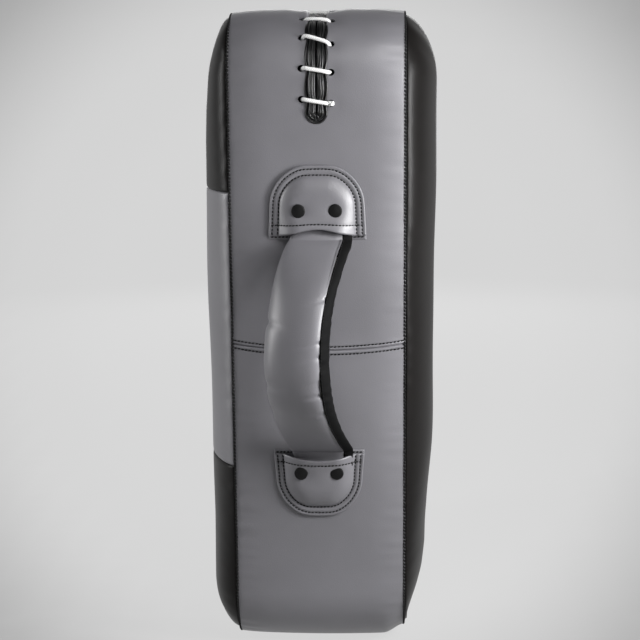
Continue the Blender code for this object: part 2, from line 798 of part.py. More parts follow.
def grip_point(side, up, across, out):
    """Place a point of the grip's section: across and out from its middle line, leaned over."""
    reach = MOUTH_OUT + (ARCH_OUT - MOUTH_OUT) * arch(up) - HINGE_OUT + out
    angle = lean(up)
    y = across * math.cos(angle) + reach * math.sin(angle)
    away = reach * math.cos(angle) - across * math.sin(angle)
    return side_point(side, HINGE_OUT + away, y, up)


def oval(half_width, half_depth, angle):
    power = 2 / GRIP_SQUARENESS
    c = math.cos(angle)
    s = math.sin(angle)
    across = half_width * math.copysign(abs(c) ** power, c)
    return across, half_depth * math.copysign(abs(s) ** power, s)


def grip_heights(low, high, rings):
    return [low + (high - low) * i / (rings - 1) for i in range(rings)]


def arc_shell_ring(side, up, angles, depth):
    """A crescent section between two angles of the grip's oval: its outside, then its inside."""
    half_width, half_depth = grip_size(up)
    ring = []
    for angle in angles:
        ring.append(grip_point(side, up, *oval(half_width, half_depth, angle)))
    for angle in reversed(angles):
        ring.append(grip_point(side, up, *oval(half_width - depth, half_depth - depth, angle)))
    return ring


def spread(start, end, steps):
    return [start + (end - start) * i / steps for i in range(steps + 1)]


def webbing_section(angle, margin):
    """Point of the strap's flat section, or of the channel round it, that faces an angle."""
    half_width = WEBBING_WIDTH / 2 + margin
    half_depth = WEBBING_THICKNESS / 2 + margin
    share = min(max(math.cos(angle) / math.cos(WEBBING_EDGE_ANGLE), -1.0), 1.0)
    return half_width * share, math.copysign(half_depth, math.sin(angle))


def grip_core_ring(side, up, angles, part):
    """Ring of the padding's outside, of its channel or of the strap, all split at the same angles."""
    half_width, half_depth = grip_size(up)
    skin = GRIP_SHELL + GAP
    if part == "outside":
        places = [oval(half_width - skin, half_depth - skin, angle) for angle in angles]
    else:
        margin = GAP if part == "channel" else 0.0
        places = [webbing_section(angle, margin) for angle in angles]
    return [grip_point(side, up, *place) for place in places]


def grip_foam(side, heights, angles):
    """Padding with a channel for the strap from end to end."""
    bm = bmesh.new()
    rows = []
    for part in ("outside", "channel"):
        rings = [grip_core_ring(side, up, angles, part) for up in heights]
        rows.append(loft(bm, rings, caps=False, lean_back=True))
    outer, inner = rows
    count = len(angles)
    for end in (0, -1):
        for i in range(count):
            j = (i + 1) % count
            bm.faces.new((outer[end][i], outer[end][j], inner[end][j], inner[end][i]))
    return bm


def make_grip(hand, side, finishes):
    hinge_place = side_point(side, HINGE_OUT, 0.0, 0.0)
    hinge = bpy.data.objects.new(f"{hand}_handle_hinge", None)
    hinge.location = hinge_place
    bpy.context.collection.objects.link(hinge)
    heights = grip_heights(-GRIP_HALF_LENGTH, GRIP_HALF_LENGTH, GRIP_RINGS)
    down = -math.pi / 2
    edge = UNDERSIDE_HALF_ANGLE
    clear = SEAM_CLEAR_ANGLE
    cover_angles = spread(down + edge, down - edge + 2 * math.pi, COVER_FACETS)
    under_angles = spread(down - edge + clear, down + edge - clear, UNDERSIDE_FACETS)
    shells = (
        ("grip_cover", cover_angles, "grey_leather"),
        ("grip_underside", under_angles, "black_leather"),
    )
    for name, angles, finish in shells:
        bm = bmesh.new()
        loft(bm, [arc_shell_ring(side, up, angles, GRIP_SHELL) for up in heights])
        add_object(f"{hand}_{name}", bm, finishes[finish], hinge, hinge_place)
    core_angles = cover_angles + under_angles[1:-1]
    foam = grip_foam(side, heights, core_angles)
    add_object(f"{hand}_grip_foam", foam, finishes["soft_foam"], hinge, hinge_place)
    bm = bmesh.new()
    loft(bm, [grip_core_ring(side, up, core_angles, "strap") for up in heights], lean_back=True)
    add_object(f"{hand}_grip_strap", bm, finishes["webbing"], hinge, hinge_place)


def make_neck(hand, side, level, turn, finishes):
    """The flattened stretch of the handle between the stiff grip and the anchor's mouth."""
    rings = []
    for up in grip_heights(GRIP_HALF_LENGTH + GAP, ANCHOR_MOUTH - GAP, NECK_RINGS):
        half_width, half_depth = grip_size(up)
        ring = []
        for i in range(NECK_SIDES):
            across, out = oval(half_width, half_depth, 2 * math.pi * (i + 0.5) / NECK_SIDES)
            ring.append(grip_point(side, turn * up, across, out))
        rings.append(ring)
    bm = bmesh.new()
    loft(bm, rings)
    add_object(f"{hand}_{level}_neck", bm, finishes["grey_leather"])


def main():
    clear_scene()
    finishes = {
        "grey_leather": material("grey_leather", (0.165, 0.162, 0.178), 0.42),
        "black_leather": material("black_leather", (0.018, 0.018, 0.019), 0.38),
        "black_fabric": material("black_fabric", (0.02, 0.02, 0.02), 0.9),
        "webbing": material("webbing", (0.03, 0.03, 0.03), 0.85),
        "white_cord": material("white_cord", (0.86, 0.86, 0.85), 0.8),
        "dense_foam": material("dense_foam", (0.1, 0.1, 0.11), 0.95),
        "soft_foam": material("soft_foam", (0.55, 0.55, 0.5), 0.95),
        "black_metal": material("black_metal", (0.01, 0.01, 0.01), 0.35, 0.8),
        "steel": material("steel", (0.55, 0.55, 0.56), 0.35, 1.0),
    }
    sides = (("right", 1), ("left", -1))
    levels = (("upper", 1), ("lower", -1))
    holes = {}
    cutters = {"upper_gusset": [slit_cutter(), lace_hole_cutter()], "lower_gusset": []}
    cutters["core_foam"] = [trough_cutter()]
    for hand, side in sides:
        for level, turn in levels:
            cutter = rivet_hole_cutter(f"{hand}_{level}_rivet_holes", side, turn)
            holes[hand, level] = cutter
            cutters[f"{level}_gusset"].append(cutter)
            cutters["core_foam"].append(pocket_cutter(f"{hand}_{level}_pocket", side, turn))
    make_faces(finishes)
    make_gussets(finishes, cutters)
    make_foams(finishes, cutters)
    make_binding(finishes)
    make_lips(finishes)
    make_lace(finishes)
    make_tongue(finishes)
    for hand, side in sides:
        for level, turn in levels:
            make_anchor(hand, side, level, turn, finishes, holes[hand, level])
            make_neck(hand, side, level, turn, finishes)
        make_grip(hand, side, finishes)


main()
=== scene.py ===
import math

import bmesh
import bpy
import numpy as np
from mathutils import Matrix, Vector


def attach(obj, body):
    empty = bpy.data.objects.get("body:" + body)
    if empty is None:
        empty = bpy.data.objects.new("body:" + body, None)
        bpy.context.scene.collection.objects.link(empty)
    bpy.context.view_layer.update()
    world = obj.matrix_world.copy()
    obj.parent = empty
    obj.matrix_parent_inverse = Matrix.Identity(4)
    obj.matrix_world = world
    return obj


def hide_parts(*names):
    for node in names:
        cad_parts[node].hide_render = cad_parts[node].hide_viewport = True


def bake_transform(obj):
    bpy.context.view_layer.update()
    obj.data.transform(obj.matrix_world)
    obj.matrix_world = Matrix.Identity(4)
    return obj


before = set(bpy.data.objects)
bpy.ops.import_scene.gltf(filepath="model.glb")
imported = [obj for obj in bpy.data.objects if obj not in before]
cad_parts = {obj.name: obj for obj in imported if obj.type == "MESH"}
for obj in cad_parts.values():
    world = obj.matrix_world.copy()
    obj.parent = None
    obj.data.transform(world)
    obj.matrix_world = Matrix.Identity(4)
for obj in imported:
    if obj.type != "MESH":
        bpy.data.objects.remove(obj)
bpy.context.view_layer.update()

MM = 0.001

# Distances in metres: points nearer than these are merged, in sheets and in closed shells and cords,
# and faces flatter than the last are dropped
GRID_MERGE = 1e-6
SHELL_MERGE = 2e-6
FLAT = 1e-7

# Sizes of the cover. Its height, width, corners and seam places are those of the CAD solids; the seams
# are drawn in and the faces domed a little differently
HEIGHT = 600 * MM
HALF_WIDTH = 190 * MM
CORNER_RADIUS = 60 * MM
SEAM_Y = 80 * MM
SEAM_DRAW = 5 * MM
DRAW_WIDTH = 36 * MM
CROWN = 24 * MM
CROWN_RUN = 62 * MM
FACE_RISE = 3.5 * MM
SEAM_FLANGE = 8 * MM
MID_SEAM_Z = 300 * MM
BAND_TOP_Z = 439 * MM
BAND_BOTTOM_Z = 183 * MM
LEATHER = 1.7 * MM
FOAM_GAP = 9 * MM

TOP_STRAIGHT = HALF_WIDTH - CORNER_RADIUS
SIDE_STRAIGHT = HEIGHT - 2 * CORNER_RADIUS
CORNER_ARC = CORNER_RADIUS * math.pi / 2
ROUND = 4 * (TOP_STRAIGHT + CORNER_ARC) + 2 * SIDE_STRAIGHT
MID_SEAM_S = TOP_STRAIGHT + CORNER_ARC + SIDE_STRAIGHT / 2
SEAM_DROOP = 5.5 * MM
SEAM_GAP = 0.35 * MM
BACK_TUCK = 8 * MM
RIPPLE_WAVES = 14

# Fullness of the two faces at heights in millimetres
BACK_SWELL = ((-5, 20, 34, 50, 68, 90, 130, 190, 290, 380, 470, 540, 605),
              (0.08, 0.13, 0.26, 0.45, 0.65, 0.79, 0.90, 0.98, 1.03, 1.08, 1.13, 1.16, 1.2))
FRONT_SWELL = ((-5, 40, 120, 300, 480, 510, 536, 562, 580, 605),
               (1.1, 1.06, 1.0, 1.0, 1.03, 1.0, 0.93, 0.84, 0.84, 0.9))

# Studio: lens in pixels of the frame, and how pale the paper is painted away from the middle of the view: the
# falling levels are painted shade, darker towards the edges of the view
FRAME = 640
SENSOR = 36
FOCAL = 1467.3
EYE = (1.5, 0.0546, 0.585)
PITCH = 0.1972
YAW = -0.0404
ROLL = math.radians(-0.5)
PAPER_REACH = (0, 0.7, 0.82, 0.93, 0.98, 1.07, 1.18, 1.28, 1.38, 1.5, 2.3)
PAPER_LEVEL_WITH_PAINTED_SHADE = (0.76, 0.76, 0.75, 0.745, 0.74, 0.705, 0.635, 0.555, 0.46, 0.4, 0.74)
PAPER_BACK = -1.7
PAPER_BEND = 0.6
PAPER_COLOUR = (0.42, 0.42, 0.42, 1)
PAPER_GLOW = 0.86
FILL_COLOUR = (0.93, 0.95, 1.0, 1)
FILL_STRENGTH = 0.05
PAST_PAPER_COLOUR = (0.66, 0.66, 0.66, 1)

# Lamps: place, the point that each looks at, width, height and power
LAMPS = {
    "right_softbox": ((0.44, 0.52, 0.48), (0.19, 0, 0.34), 0.16, 0.3, 6.4),
    "right_strip": ((0.95, 0.85, 0.97), (0.19, 0, 0.42), 0.15, 0.5, 4.4),
    "upper_softbox": ((0.8, 0.3, 1.05), (0.19, 0, 0.42), 0.3, 0.3, 3.0),
    "left_softbox": ((0.22, -1.2, 0.75), (0.13, 0, 0.42), 0.25, 0.6, 6.6),
    "left_low_softbox": ((0.22, -1.2, 0.35), (0.13, 0, 0.35), 0.25, 0.6, 3.2),
    "far_right_softbox": ((-1.7, 0.25, 0.7), (0, 0, 0.34), 0.6, 0.9, 6),
    "far_left_softbox": ((-1.7, -0.25, 0.7), (0, 0, 0.34), 0.6, 0.9, 6),
}

# Laced closure. Shares run from the edge of the bundle to its middle
CLOSURE_END = 264.25 * MM
LACE_PITCH = 27.1 * MM
LACE_CROSSINGS = 19
LACE_SLOPE = 3.6 * MM
LACE_HOLE = 13.2 * MM
HOLE_RADIUS = 3.1 * MM
LACE_RADIUS = 1.8 * MM
BUNDLE_HALF = 10.6 * MM
TOP_SINK = 6.6 * MM
BINDING_SHARE = 0.27
LIP_SHARE = 0.275
BINDING_RISE = 0.2 * MM
BINDING_UNDER = 0.15 * MM
LIP_RISE = 0.4 * MM
LIP_UNDER = 1.6 * MM
SLIT_HALF = 0.12 * MM
TONGUE_DEPTH = 4.6 * MM
TONGUE_WALL = 1.2 * MM
TONGUE_PAST = 5 * MM
KNOT_SIZE = 0.82 * MM
LACE_UNDER = 6.6 * MM
# How far the lace goes to each side, in millimetres
LACE_REACH = 12.2

# Handle and its anchor patches. Angles run round the grip, with 90 degrees outwards
ANCHOR_MOUTH = 98 * MM
ANCHOR_HALF = 44 * MM
ANCHOR_RADIUS = 33 * MM
PATCH_ROWS = (3.2 * MM, 8.4 * MM)
COVER_TOP = 10.5 * MM
COVER_RIM = 3.9 * MM
COVER_WALL = 1.6 * MM
BASE_RISE = 2.15 * MM
BASE_WALL = 1.5 * MM
BASE_ROW = 1.4 * MM
MOUTH_RUN = 40 * MM
ROW_PRESS = 0.5 * MM
ROW_WIDTH = 0.9 * MM
ROW_LIFT = 0.35 * MM
RIVET_Y = 16.5 * MM
HINGE_OUT = 12 * MM
ARCH_OUT = 60 * MM
MOUTH_OUT = 8 * MM
LEAN = math.radians(-20)
LEAN_RUN = 62 * MM
COVER_FIRST = math.radians(31)
COVER_LAST = math.radians(214)
COVER_TURN = math.radians(14)
COVER_SEED = 71
UNDER_SEED = 81
GRIP_HALF_WIDTH = 29.4 * MM
GRIP_END_DEPTH = 5 * MM
GRIP_GROWTH = 13.5 * MM
GRIP_WALL = 1.4 * MM
UNDER_WALL = 1.2 * MM
UNDER_INSET = 0.55 * MM
EDGE_FALL = 1.3 * MM
EDGE_RUN = math.radians(24)
# Kinks of the grip in millimetres: place up from the middle, depth and width
KINKS = ((31, 1.7, 3.5), (-25, 1.4, 4.5), (-52, 1.0, 6))

SIDES = (("right", 1), ("left", -1))
LEVELS = (("upper", 1), ("lower", -1))

# Up from the middle of the handle: the mouth of each patch, its far end and its rivets. Then how far
# its hem row is from the mouth, how far the mouth bows in, the width, and what is lost of it on the way
PATCHES = {
    "upper": {"mouth": 101.0 * MM, "far": 162.5 * MM, "rivets": 124.2 * MM, "hem": 9.5 * MM,
              "bow": 7.0 * MM, "width": 1.0, "taper": 0.07},
    "lower": {"mouth": 102.5 * MM, "far": 161.0 * MM, "rivets": 118.6 * MM, "hem": 7.5 * MM,
              "bow": 4.2 * MM, "width": 0.95, "taper": 0.10},
}

# Stitch rows: from one stitch to the next, and the size of a stitch
SIDE_SEAM = {"pitch": 3.3 * MM, "length": 3.5 * MM, "thickness": 2.0 * MM, "slant": 0.45}
MID_SEAM = {"pitch": 3.4 * MM, "length": 2.8 * MM, "thickness": 1.4 * MM}
ANCHOR_ROW = {"pitch": 3.2 * MM, "length": 2.6 * MM, "thickness": 1.35 * MM}
GRIP_ROW = {"pitch": 2.9 * MM, "length": 2.4 * MM, "thickness": 0.8 * MM}


# Small tools


def smoothstep(t):
    t = np.clip(t, 0.0, 1.0)
    return t * t * (3 - 2 * t)


def bump_curve(t):
    """One soft bump: 1 at t = 0, 0 from t = 1 on."""
    return 1 - smoothstep(np.abs(t))


def ripple(s, shortest, longest, seed, turn=0.0):
    """A wandering wave along the outline that closes on itself, about 1 high."""
    pick = np.random.default_rng(seed)
    total = np.zeros(np.broadcast(s, turn).shape)
    for _ in range(RIPPLE_WAVES):
        count = round(ROUND / pick.uniform(shortest, longest))
        phase = pick.uniform(0, 2 * math.pi)
        total += np.cos(2 * math.pi * count * s / ROUND + phase + turn * pick.uniform(-1, 1))
    return total / math.sqrt(RIPPLE_WAVES)


def drift(p, size, seed):
    """Slow unevenness at points in space, about 1 high, over a distance."""
    pick = np.random.default_rng(seed)
    total = np.zeros(p.shape[:-1])
    for _ in range(9):
        direction = pick.normal(size=3)
        direction *= pick.uniform(0.6, 1.5) * 2 * math.pi / size / np.linalg.norm(direction)
        total += np.cos(p @ direction + pick.uniform(0, 2 * math.pi))
    return total / 3


def new_object(name, mesh, *finishes):
    made = bpy.data.objects.new(name, mesh)
    bpy.context.scene.collection.objects.link(made)
    for finish in finishes:
        made.data.materials.append(finish)
    return made


def grid_faces(rows, columns, close_rows=False, close_columns=False):
    """Numbers of a grid's points, and its four-sided faces."""
    index = np.arange(rows * columns).reshape(rows, columns)
    if close_rows:
        index = np.vstack([index, index[:1]])
    if close_columns:
        index = np.hstack([index, index[:, :1]])
    return index, np.stack([index[:-1, :-1], index[:-1, 1:], index[1:, 1:], index[1:, :-1]], -1).reshape(-1, 4)


def plain_mesh(name, points, faces):
    mesh = bpy.data.meshes.new(name)
    mesh.from_pydata(points.reshape(-1, 3).tolist(), [], faces)
    return mesh


def clean(mesh, merge, flat=None):
    """Merge doubles, drop flat faces where asked and turn all the faces the same way."""
    bm = bmesh.new()
    bm.from_mesh(mesh)
    bmesh.ops.remove_doubles(bm, verts=bm.verts, dist=merge)
    if flat:
        bmesh.ops.dissolve_degenerate(bm, edges=bm.edges, dist=flat)
    bmesh.ops.recalc_face_normals(bm, faces=bm.faces)
    bm.to_mesh(mesh)
    bm.free()
    mesh.shade_smooth()
    return mesh


def grid_mesh(name, points, close_rows=False, close_columns=False, cap=False):
    """A mesh over a grid of points: rows x columns x 3."""
    rows, columns = points.shape[:2]
    faces = grid_faces(rows, columns, close_rows, close_columns)[1].tolist()
    if cap:
        faces.append(list(range(columns))[::-1])
        faces.append(list(range((rows - 1) * columns, rows * columns)))
    return clean(plain_mesh(name, points, faces), GRID_MERGE)


def bake(made):
    """Turn an object's modifiers into its mesh."""
    deps = bpy.context.evaluated_depsgraph_get()
    mesh = bpy.data.meshes.new_from_object(made.evaluated_get(deps), depsgraph=deps)
    made.modifiers.clear()
    made.data = mesh
    return made


def thicken(made, thickness):
    """Give a sheet its wall, inwards from its faces."""
    wall = made.modifiers.new("Wall", "SOLIDIFY")
    wall.thickness = thickness
    wall.offset = -1.0
    wall.use_quality_normals = True
    return bake(made)


def closed_shell(name, top, bottom, close_rows=False):
    """A closed mesh between two grids whose edges meet."""
    rows, columns = top.shape[:2]
    count = rows * columns
    index, quads = grid_faces(rows, columns, close_rows)
    faces = quads.tolist() + (quads[:, ::-1] + count).tolist()
    rims = [index[:, 0], index[:, -1]]
    if not close_rows:
        rims += [index[0], index[-1]]
    for rim in rims:
        faces += np.stack([rim[:-1], rim[1:], rim[1:] + count, rim[:-1] + count], -1).tolist()
    points = np.concatenate([top.reshape(-1, 3), bottom.reshape(-1, 3)])
    return clean(plain_mesh(name, points, faces), SHELL_MERGE, FLAT)


def frames(points, closed=False):
    """Directions along and across a path, turned as little as possible from point to point."""
    ahead = np.roll(points, -1, 0) - np.roll(points, 1, 0)
    if not closed:
        ahead[0] = points[1] - points[0]
        ahead[-1] = points[-1] - points[-2]
    ahead /= np.linalg.norm(ahead, axis=1)[:, None]
    across = np.zeros_like(points)
    start = np.array([0.0, 0.0, 1.0]) if abs(ahead[0][2]) < 0.9 else np.array([1.0, 0.0, 0.0])
    for i in range(len(points)):
        start = start - ahead[i] * (start @ ahead[i])
        start /= np.linalg.norm(start)
        across[i] = start
    return ahead, across, np.cross(ahead, across)


def smooth_path(points, steps):
    """Points on a smooth curve through the given ones."""
    points = np.asarray(points, float)
    count = len(points)
    out = []
    for i in range(count - 1):
        a, b, c, d = points[[min(max(i + k, 0), count - 1) for k in (-1, 0, 1, 2)]]
        for t in np.arange(steps) / steps:
            bend = 2 * a - 5 * b + 4 * c - d
            out.append(0.5 * (2 * b + (c - a) * t + bend * t**2 + (3 * b - a - 3 * c + d) * t**3))
    out.append(points[-1])
    return np.array(out)


def tube(name, points, radius, sides=12, closed=False):
    """A round cord along a path, with a map of its length and turn for the weave."""
    _, across, other = frames(points, closed)
    angle = np.linspace(0, 2 * math.pi, sides + 1)
    rings = []
    for i, point in enumerate(points):
        rings.append(point + radius * (np.outer(np.cos(angle), across[i]) + np.outer(np.sin(angle), other[i])))
    rings = np.array(rings)
    step = np.linalg.norm(np.diff(points, axis=0), axis=1)
    length = np.concatenate([[0], np.cumsum(step)])
    if closed:
        rings = np.concatenate([rings, rings[:1]])
        length = np.append(length, length[-1] + np.linalg.norm(points[0] - points[-1]))
    else:
        ahead, _, _ = frames(points)
        for end, sign in ((0, -1), (-1, 1)):
            cap = points[end] + (rings[end] - points[end]) * 0.6 + sign * ahead[end] * radius * 0.7
            tip = np.broadcast_to(points[end] + sign * ahead[end] * radius * 0.9, cap.shape)
            extra = np.array([tip, cap]) if end == 0 else np.array([cap, tip])
            rings = np.concatenate([extra, rings]) if end == 0 else np.concatenate([rings, extra])
            grown = length[end] + sign * radius * np.array([0.7, 0.9])
            length = np.concatenate([grown[::-1], length]) if end == 0 else np.concatenate([length, grown])
    rows, columns = rings.shape[:2]
    faces = grid_faces(rows, columns)[1]
    mesh = plain_mesh(name, rings, faces.tolist())
    place = np.stack([np.repeat(length, columns), np.tile(angle * radius, rows)], -1)
    layer = mesh.uv_layers.new(name="along")
    layer.data.foreach_set("uv", place[faces.reshape(-1)].astype(np.float32).reshape(-1))
    return clean(mesh, SHELL_MERGE, FLAT)


# Node trees


def add(tree, kind, values=()):
    """A new node, with constants on its sockets."""
    made = tree.nodes.new(kind)
    for socket, value in dict(values).items():
        made.inputs[socket].default_value = value
    return made


def join(tree, *links):
    """Links in a tree: each is a node, its output, the next node and its input."""
    for source, output, target, socket in links:
        tree.links.new(source.outputs[output], target.inputs[socket])


# Stitches, and shapes set on points


def mesh_tree(name, *inputs):
    """A tree that makes a mesh from a mesh, with more inputs: name, type and, for sizes, first value."""
    tree = bpy.data.node_groups.new(name, "GeometryNodeTree")
    for label, kind, *value in (("Geometry", "Geometry"), *inputs):
        made = tree.interface.new_socket(label, in_out="INPUT", socket_type=f"NodeSocket{kind}")
        if value:
            made.default_value = value[0]
    tree.interface.new_socket("Geometry", in_out="OUTPUT", socket_type="NodeSocketGeometry")
    return tree, add(tree, "NodeGroupInput")


def square_to_leather(tree):
    """A rotation whose z follows the direction that path_mesh stores at each point."""
    out = add(tree, "GeometryNodeInputNamedAttribute", {"Name": "out"})
    out.data_type = "FLOAT_VECTOR"
    upright = add(tree, "FunctionNodeAlignRotationToVector")
    upright.axis = "Z"
    join(tree, (out, "Attribute", upright, "Vector"))
    return upright


def make_real(tree, start, place, finish, smooth=False):
    """The end of a tree: the set shapes become a mesh with its finish."""
    real = last = add(tree, "GeometryNodeRealizeInstances")
    if smooth:
        last = add(tree, "GeometryNodeSetShadeSmooth")
        join(tree, (real, "Geometry", last, "Geometry"))
    dye = add(tree, "GeometryNodeSetMaterial")
    end = add(tree, "NodeGroupOutput")
    join(tree, (place, "Instances", real, "Geometry"), (last, "Geometry", dye, "Geometry"),
         (start, finish, dye, "Material"), (dye, "Geometry", end, "Geometry"))


def stitch_tree():
    """Lays stitches along an edge path: each lies on the leather, a little askew."""
    tree, start = mesh_tree("stitch_row", ("Pitch", "Float", 3 * MM), ("Length", "Float", 2.4 * MM),
                            ("Thickness", "Float", 0.7 * MM), ("Slant", "Float", 0.12), ("Thread", "Material"))
    path = add(tree, "GeometryNodeMeshToCurve")
    even = add(tree, "GeometryNodeResampleCurve")
    even.mode = "LENGTH"
    ahead = add(tree, "GeometryNodeInputTangent")
    along = add(tree, "FunctionNodeAlignRotationToVector")
    along.axis = "X"
    upright = square_to_leather(tree)
    upright.pivot_axis = "X"
    stray = add(tree, "FunctionNodeRandomValue", {2: -0.05, 3: 0.05, "Seed": 7})
    stray.data_type = "FLOAT"
    lean = add(tree, "ShaderNodeMath")
    turn = add(tree, "ShaderNodeCombineXYZ")
    euler = add(tree, "FunctionNodeEulerToRotation")
    askew = add(tree, "FunctionNodeRotateRotation")
    askew.rotation_space = "LOCAL"
    stitch = add(tree, "GeometryNodeMeshUVSphere", {"Segments": 6, "Rings": 5, "Radius": 0.5})
    lay = add(tree, "GeometryNodeTransform", {"Rotation": (0, math.pi / 2, 0)})
    size = add(tree, "ShaderNodeCombineXYZ")
    place = add(tree, "GeometryNodeInstanceOnPoints")
    join(tree, (start, "Geometry", path, "Mesh"), (path, "Curve", even, "Curve"), (start, "Pitch", even, "Length"),
         (ahead, "Tangent", along, "Vector"), (along, "Rotation", upright, "Rotation"),
         (stray, 1, lean, 0), (start, "Slant", lean, 1), (lean, 0, turn, "Z"), (turn, 0, euler, 0),
         (upright, "Rotation", askew, "Rotation"), (euler, 0, askew, "Rotate By"),
         (stitch, "Mesh", lay, "Geometry"), (start, "Length", size, "X"),
         (start, "Thickness", size, "Y"), (start, "Thickness", size, "Z"),
         (even, "Curve", place, "Points"), (lay, "Geometry", place, "Instance"),
         (askew, "Rotation", place, "Rotation"), (size, 0, place, "Scale"))
    make_real(tree, start, place, "Thread", smooth=True)
    return tree


def scatter_tree():
    """Sets a shape on each point of a second object, square to the leather there."""
    tree, start = mesh_tree("set_on_points", ("Places", "Object"), ("Finish", "Material"))
    info = add(tree, "GeometryNodeObjectInfo")
    upright = square_to_leather(tree)
    place = add(tree, "GeometryNodeInstanceOnPoints")
    join(tree, (start, "Places", info, "Object"), (info, "Geometry", place, "Points"),
         (start, "Geometry", place, "Instance"), (upright, "Rotation", place, "Rotation"))
    make_real(tree, start, place, "Finish")
    return tree


def run_tree(made, tree, **values):
    """Run a node tree on an object with named inputs, and keep the result as its mesh."""
    step = made.modifiers.new(tree.name, "NODES")
    step.node_group = tree
    for item in tree.interface.items_tree:
        if item.item_type == "SOCKET" and item.in_out == "INPUT" and item.name in values:
            step[item.identifier] = values[item.name]
    return bake(made)


def path_mesh(name, runs):
    """Edge paths with the direction out of the leather at each point."""
    verts = []
    edges = []
    outs = []
    for points, out in runs:
        first = len(verts)
        verts += np.asarray(points).tolist()
        outs += np.broadcast_to(out, np.shape(points)).tolist()
        edges += [(i, i + 1) for i in range(first, len(verts) - 1)]
    mesh = bpy.data.meshes.new(name)
    mesh.from_pydata(verts, edges, [])
    layer = mesh.attributes.new("out", "FLOAT_VECTOR", "POINT")
    layer.data.foreach_set("vector", np.array(outs, np.float32).reshape(-1))
    return mesh


def sew(name, runs, body, pitch, length, thickness, slant=0.12):
    """A piece made of all the stitches along some paths."""
    made = new_object(name, path_mesh(name, runs))
    dye = FINISH["thread"]
    run_tree(made, TREES["stitch"], Pitch=pitch, Length=length, Thickness=thickness, Slant=slant, Thread=dye)
    made.data.materials.clear()
    made.data.materials.append(dye)
    if body:
        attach(made, body)
    return made


# Shape of the body


def outline(s):
    """Place and outward direction in x and z at a distance along the outline, from the top centre."""
    s = np.mod(s, ROUND)
    half = ROUND / 2
    side = np.where(s > half, -1.0, 1.0)
    run = np.where(s > half, ROUND - s, s)
    a = TOP_STRAIGHT
    b = a + CORNER_ARC
    c = b + SIDE_STRAIGHT
    d = c + CORNER_ARC
    turn = np.clip((run - a) / CORNER_RADIUS, 0, math.pi / 2) + np.clip((run - c) / CORNER_RADIUS, 0, math.pi / 2)
    nx = np.sin(turn)
    nz = np.cos(turn)
    x = np.minimum(run, a) + CORNER_RADIUS * nx
    x = np.where(run > c, TOP_STRAIGHT + CORNER_RADIUS * nx - np.clip(run - d, 0, None), x)
    z = np.where(run <= c, HEIGHT - CORNER_RADIUS + CORNER_RADIUS * nz - np.clip(run - b, 0, SIDE_STRAIGHT), 0.0)
    z = np.where(run > c, CORNER_RADIUS + CORNER_RADIUS * nz, z)
    return side * x, z, side * nx, nz


def on_body(s, y, n):
    """Points at a distance along the outline, a depth and a height outwards."""
    s, y, n = np.broadcast_arrays(s, y, n)
    x, z, nx, nz = outline(s)
    return np.stack([x + nx * n, y, z + nz * n], -1)


def droop(points):
    """Let the seam at mid height sag in its middle, with the leather round it."""
    y = points[..., 1]
    away = np.abs(points[..., 2] - MID_SEAM_Z)
    on_side = smoothstep((np.abs(points[..., 0]) - 150 * MM) / (20 * MM))
    sag = SEAM_DROOP * np.clip(1 - (y / SEAM_Y) ** 2, 0, 1) * bump_curve(away / (70 * MM)) * on_side
    moved = points.copy()
    moved[..., 2] -= sag
    return moved


def draw_in(y):
    t = np.clip((np.abs(y) - (SEAM_Y - DRAW_WIDTH)) / DRAW_WIDTH, 0, None)
    return SEAM_DRAW * t**2.2


def tuck(s):
    """How much further in the back seam is drawn along the bottom."""
    _, _, _, nz = outline(s)
    return BACK_TUCK * np.clip(-nz, 0, 1) ** 1.5


def swell(z, side):
    """How full the padding is at a height: less at the bottom of the back and at the top of the front."""
    if side > 0:
        return np.interp(z / MM, BACK_SWELL[0], BACK_SWELL[1])
    return np.interp(z / MM, FRONT_SWELL[0], FRONT_SWELL[1])


def dome_depth(inset, x, z):
    """How far a face stands out from its seam: a padded edge, then a slight bulge over the whole face."""
    t = np.clip(inset / CROWN_RUN, 0, 1)
    bulge = np.clip(1 - (x / HALF_WIDTH) ** 2, 0, 1) * np.clip(1 - ((z - MID_SEAM_Z) / (HEIGHT / 2)) ** 2, 0, 1)
    return CROWN * np.clip(1 - (1 - t) ** 2.0, 0, 1) ** 0.68 + FACE_RISE * smoothstep(t) * bulge


def lace_stations():
    """Where the lace crosses the slit, and how far each crossing slopes along it."""
    first = -(LACE_CROSSINGS - 1) / 2 * LACE_PITCH
    slopes = [LACE_SLOPE] * LACE_CROSSINGS
    slopes[-3] *= 1.9
    return [(first + i * LACE_PITCH, slope) for i, slope in enumerate(slopes)]


def from_top(s):
    """Distance along the outline from the top centre, the shorter way round: negative on the left."""
    return np.mod(s + ROUND / 2, ROUND) - ROUND / 2


def sink(s):
    """How deep the bundle lies along the top, where the lace pulls it down between the edges."""
    return TOP_SINK * (1 - smoothstep((np.abs(from_top(s)) - 148 * MM) / (32 * MM)))


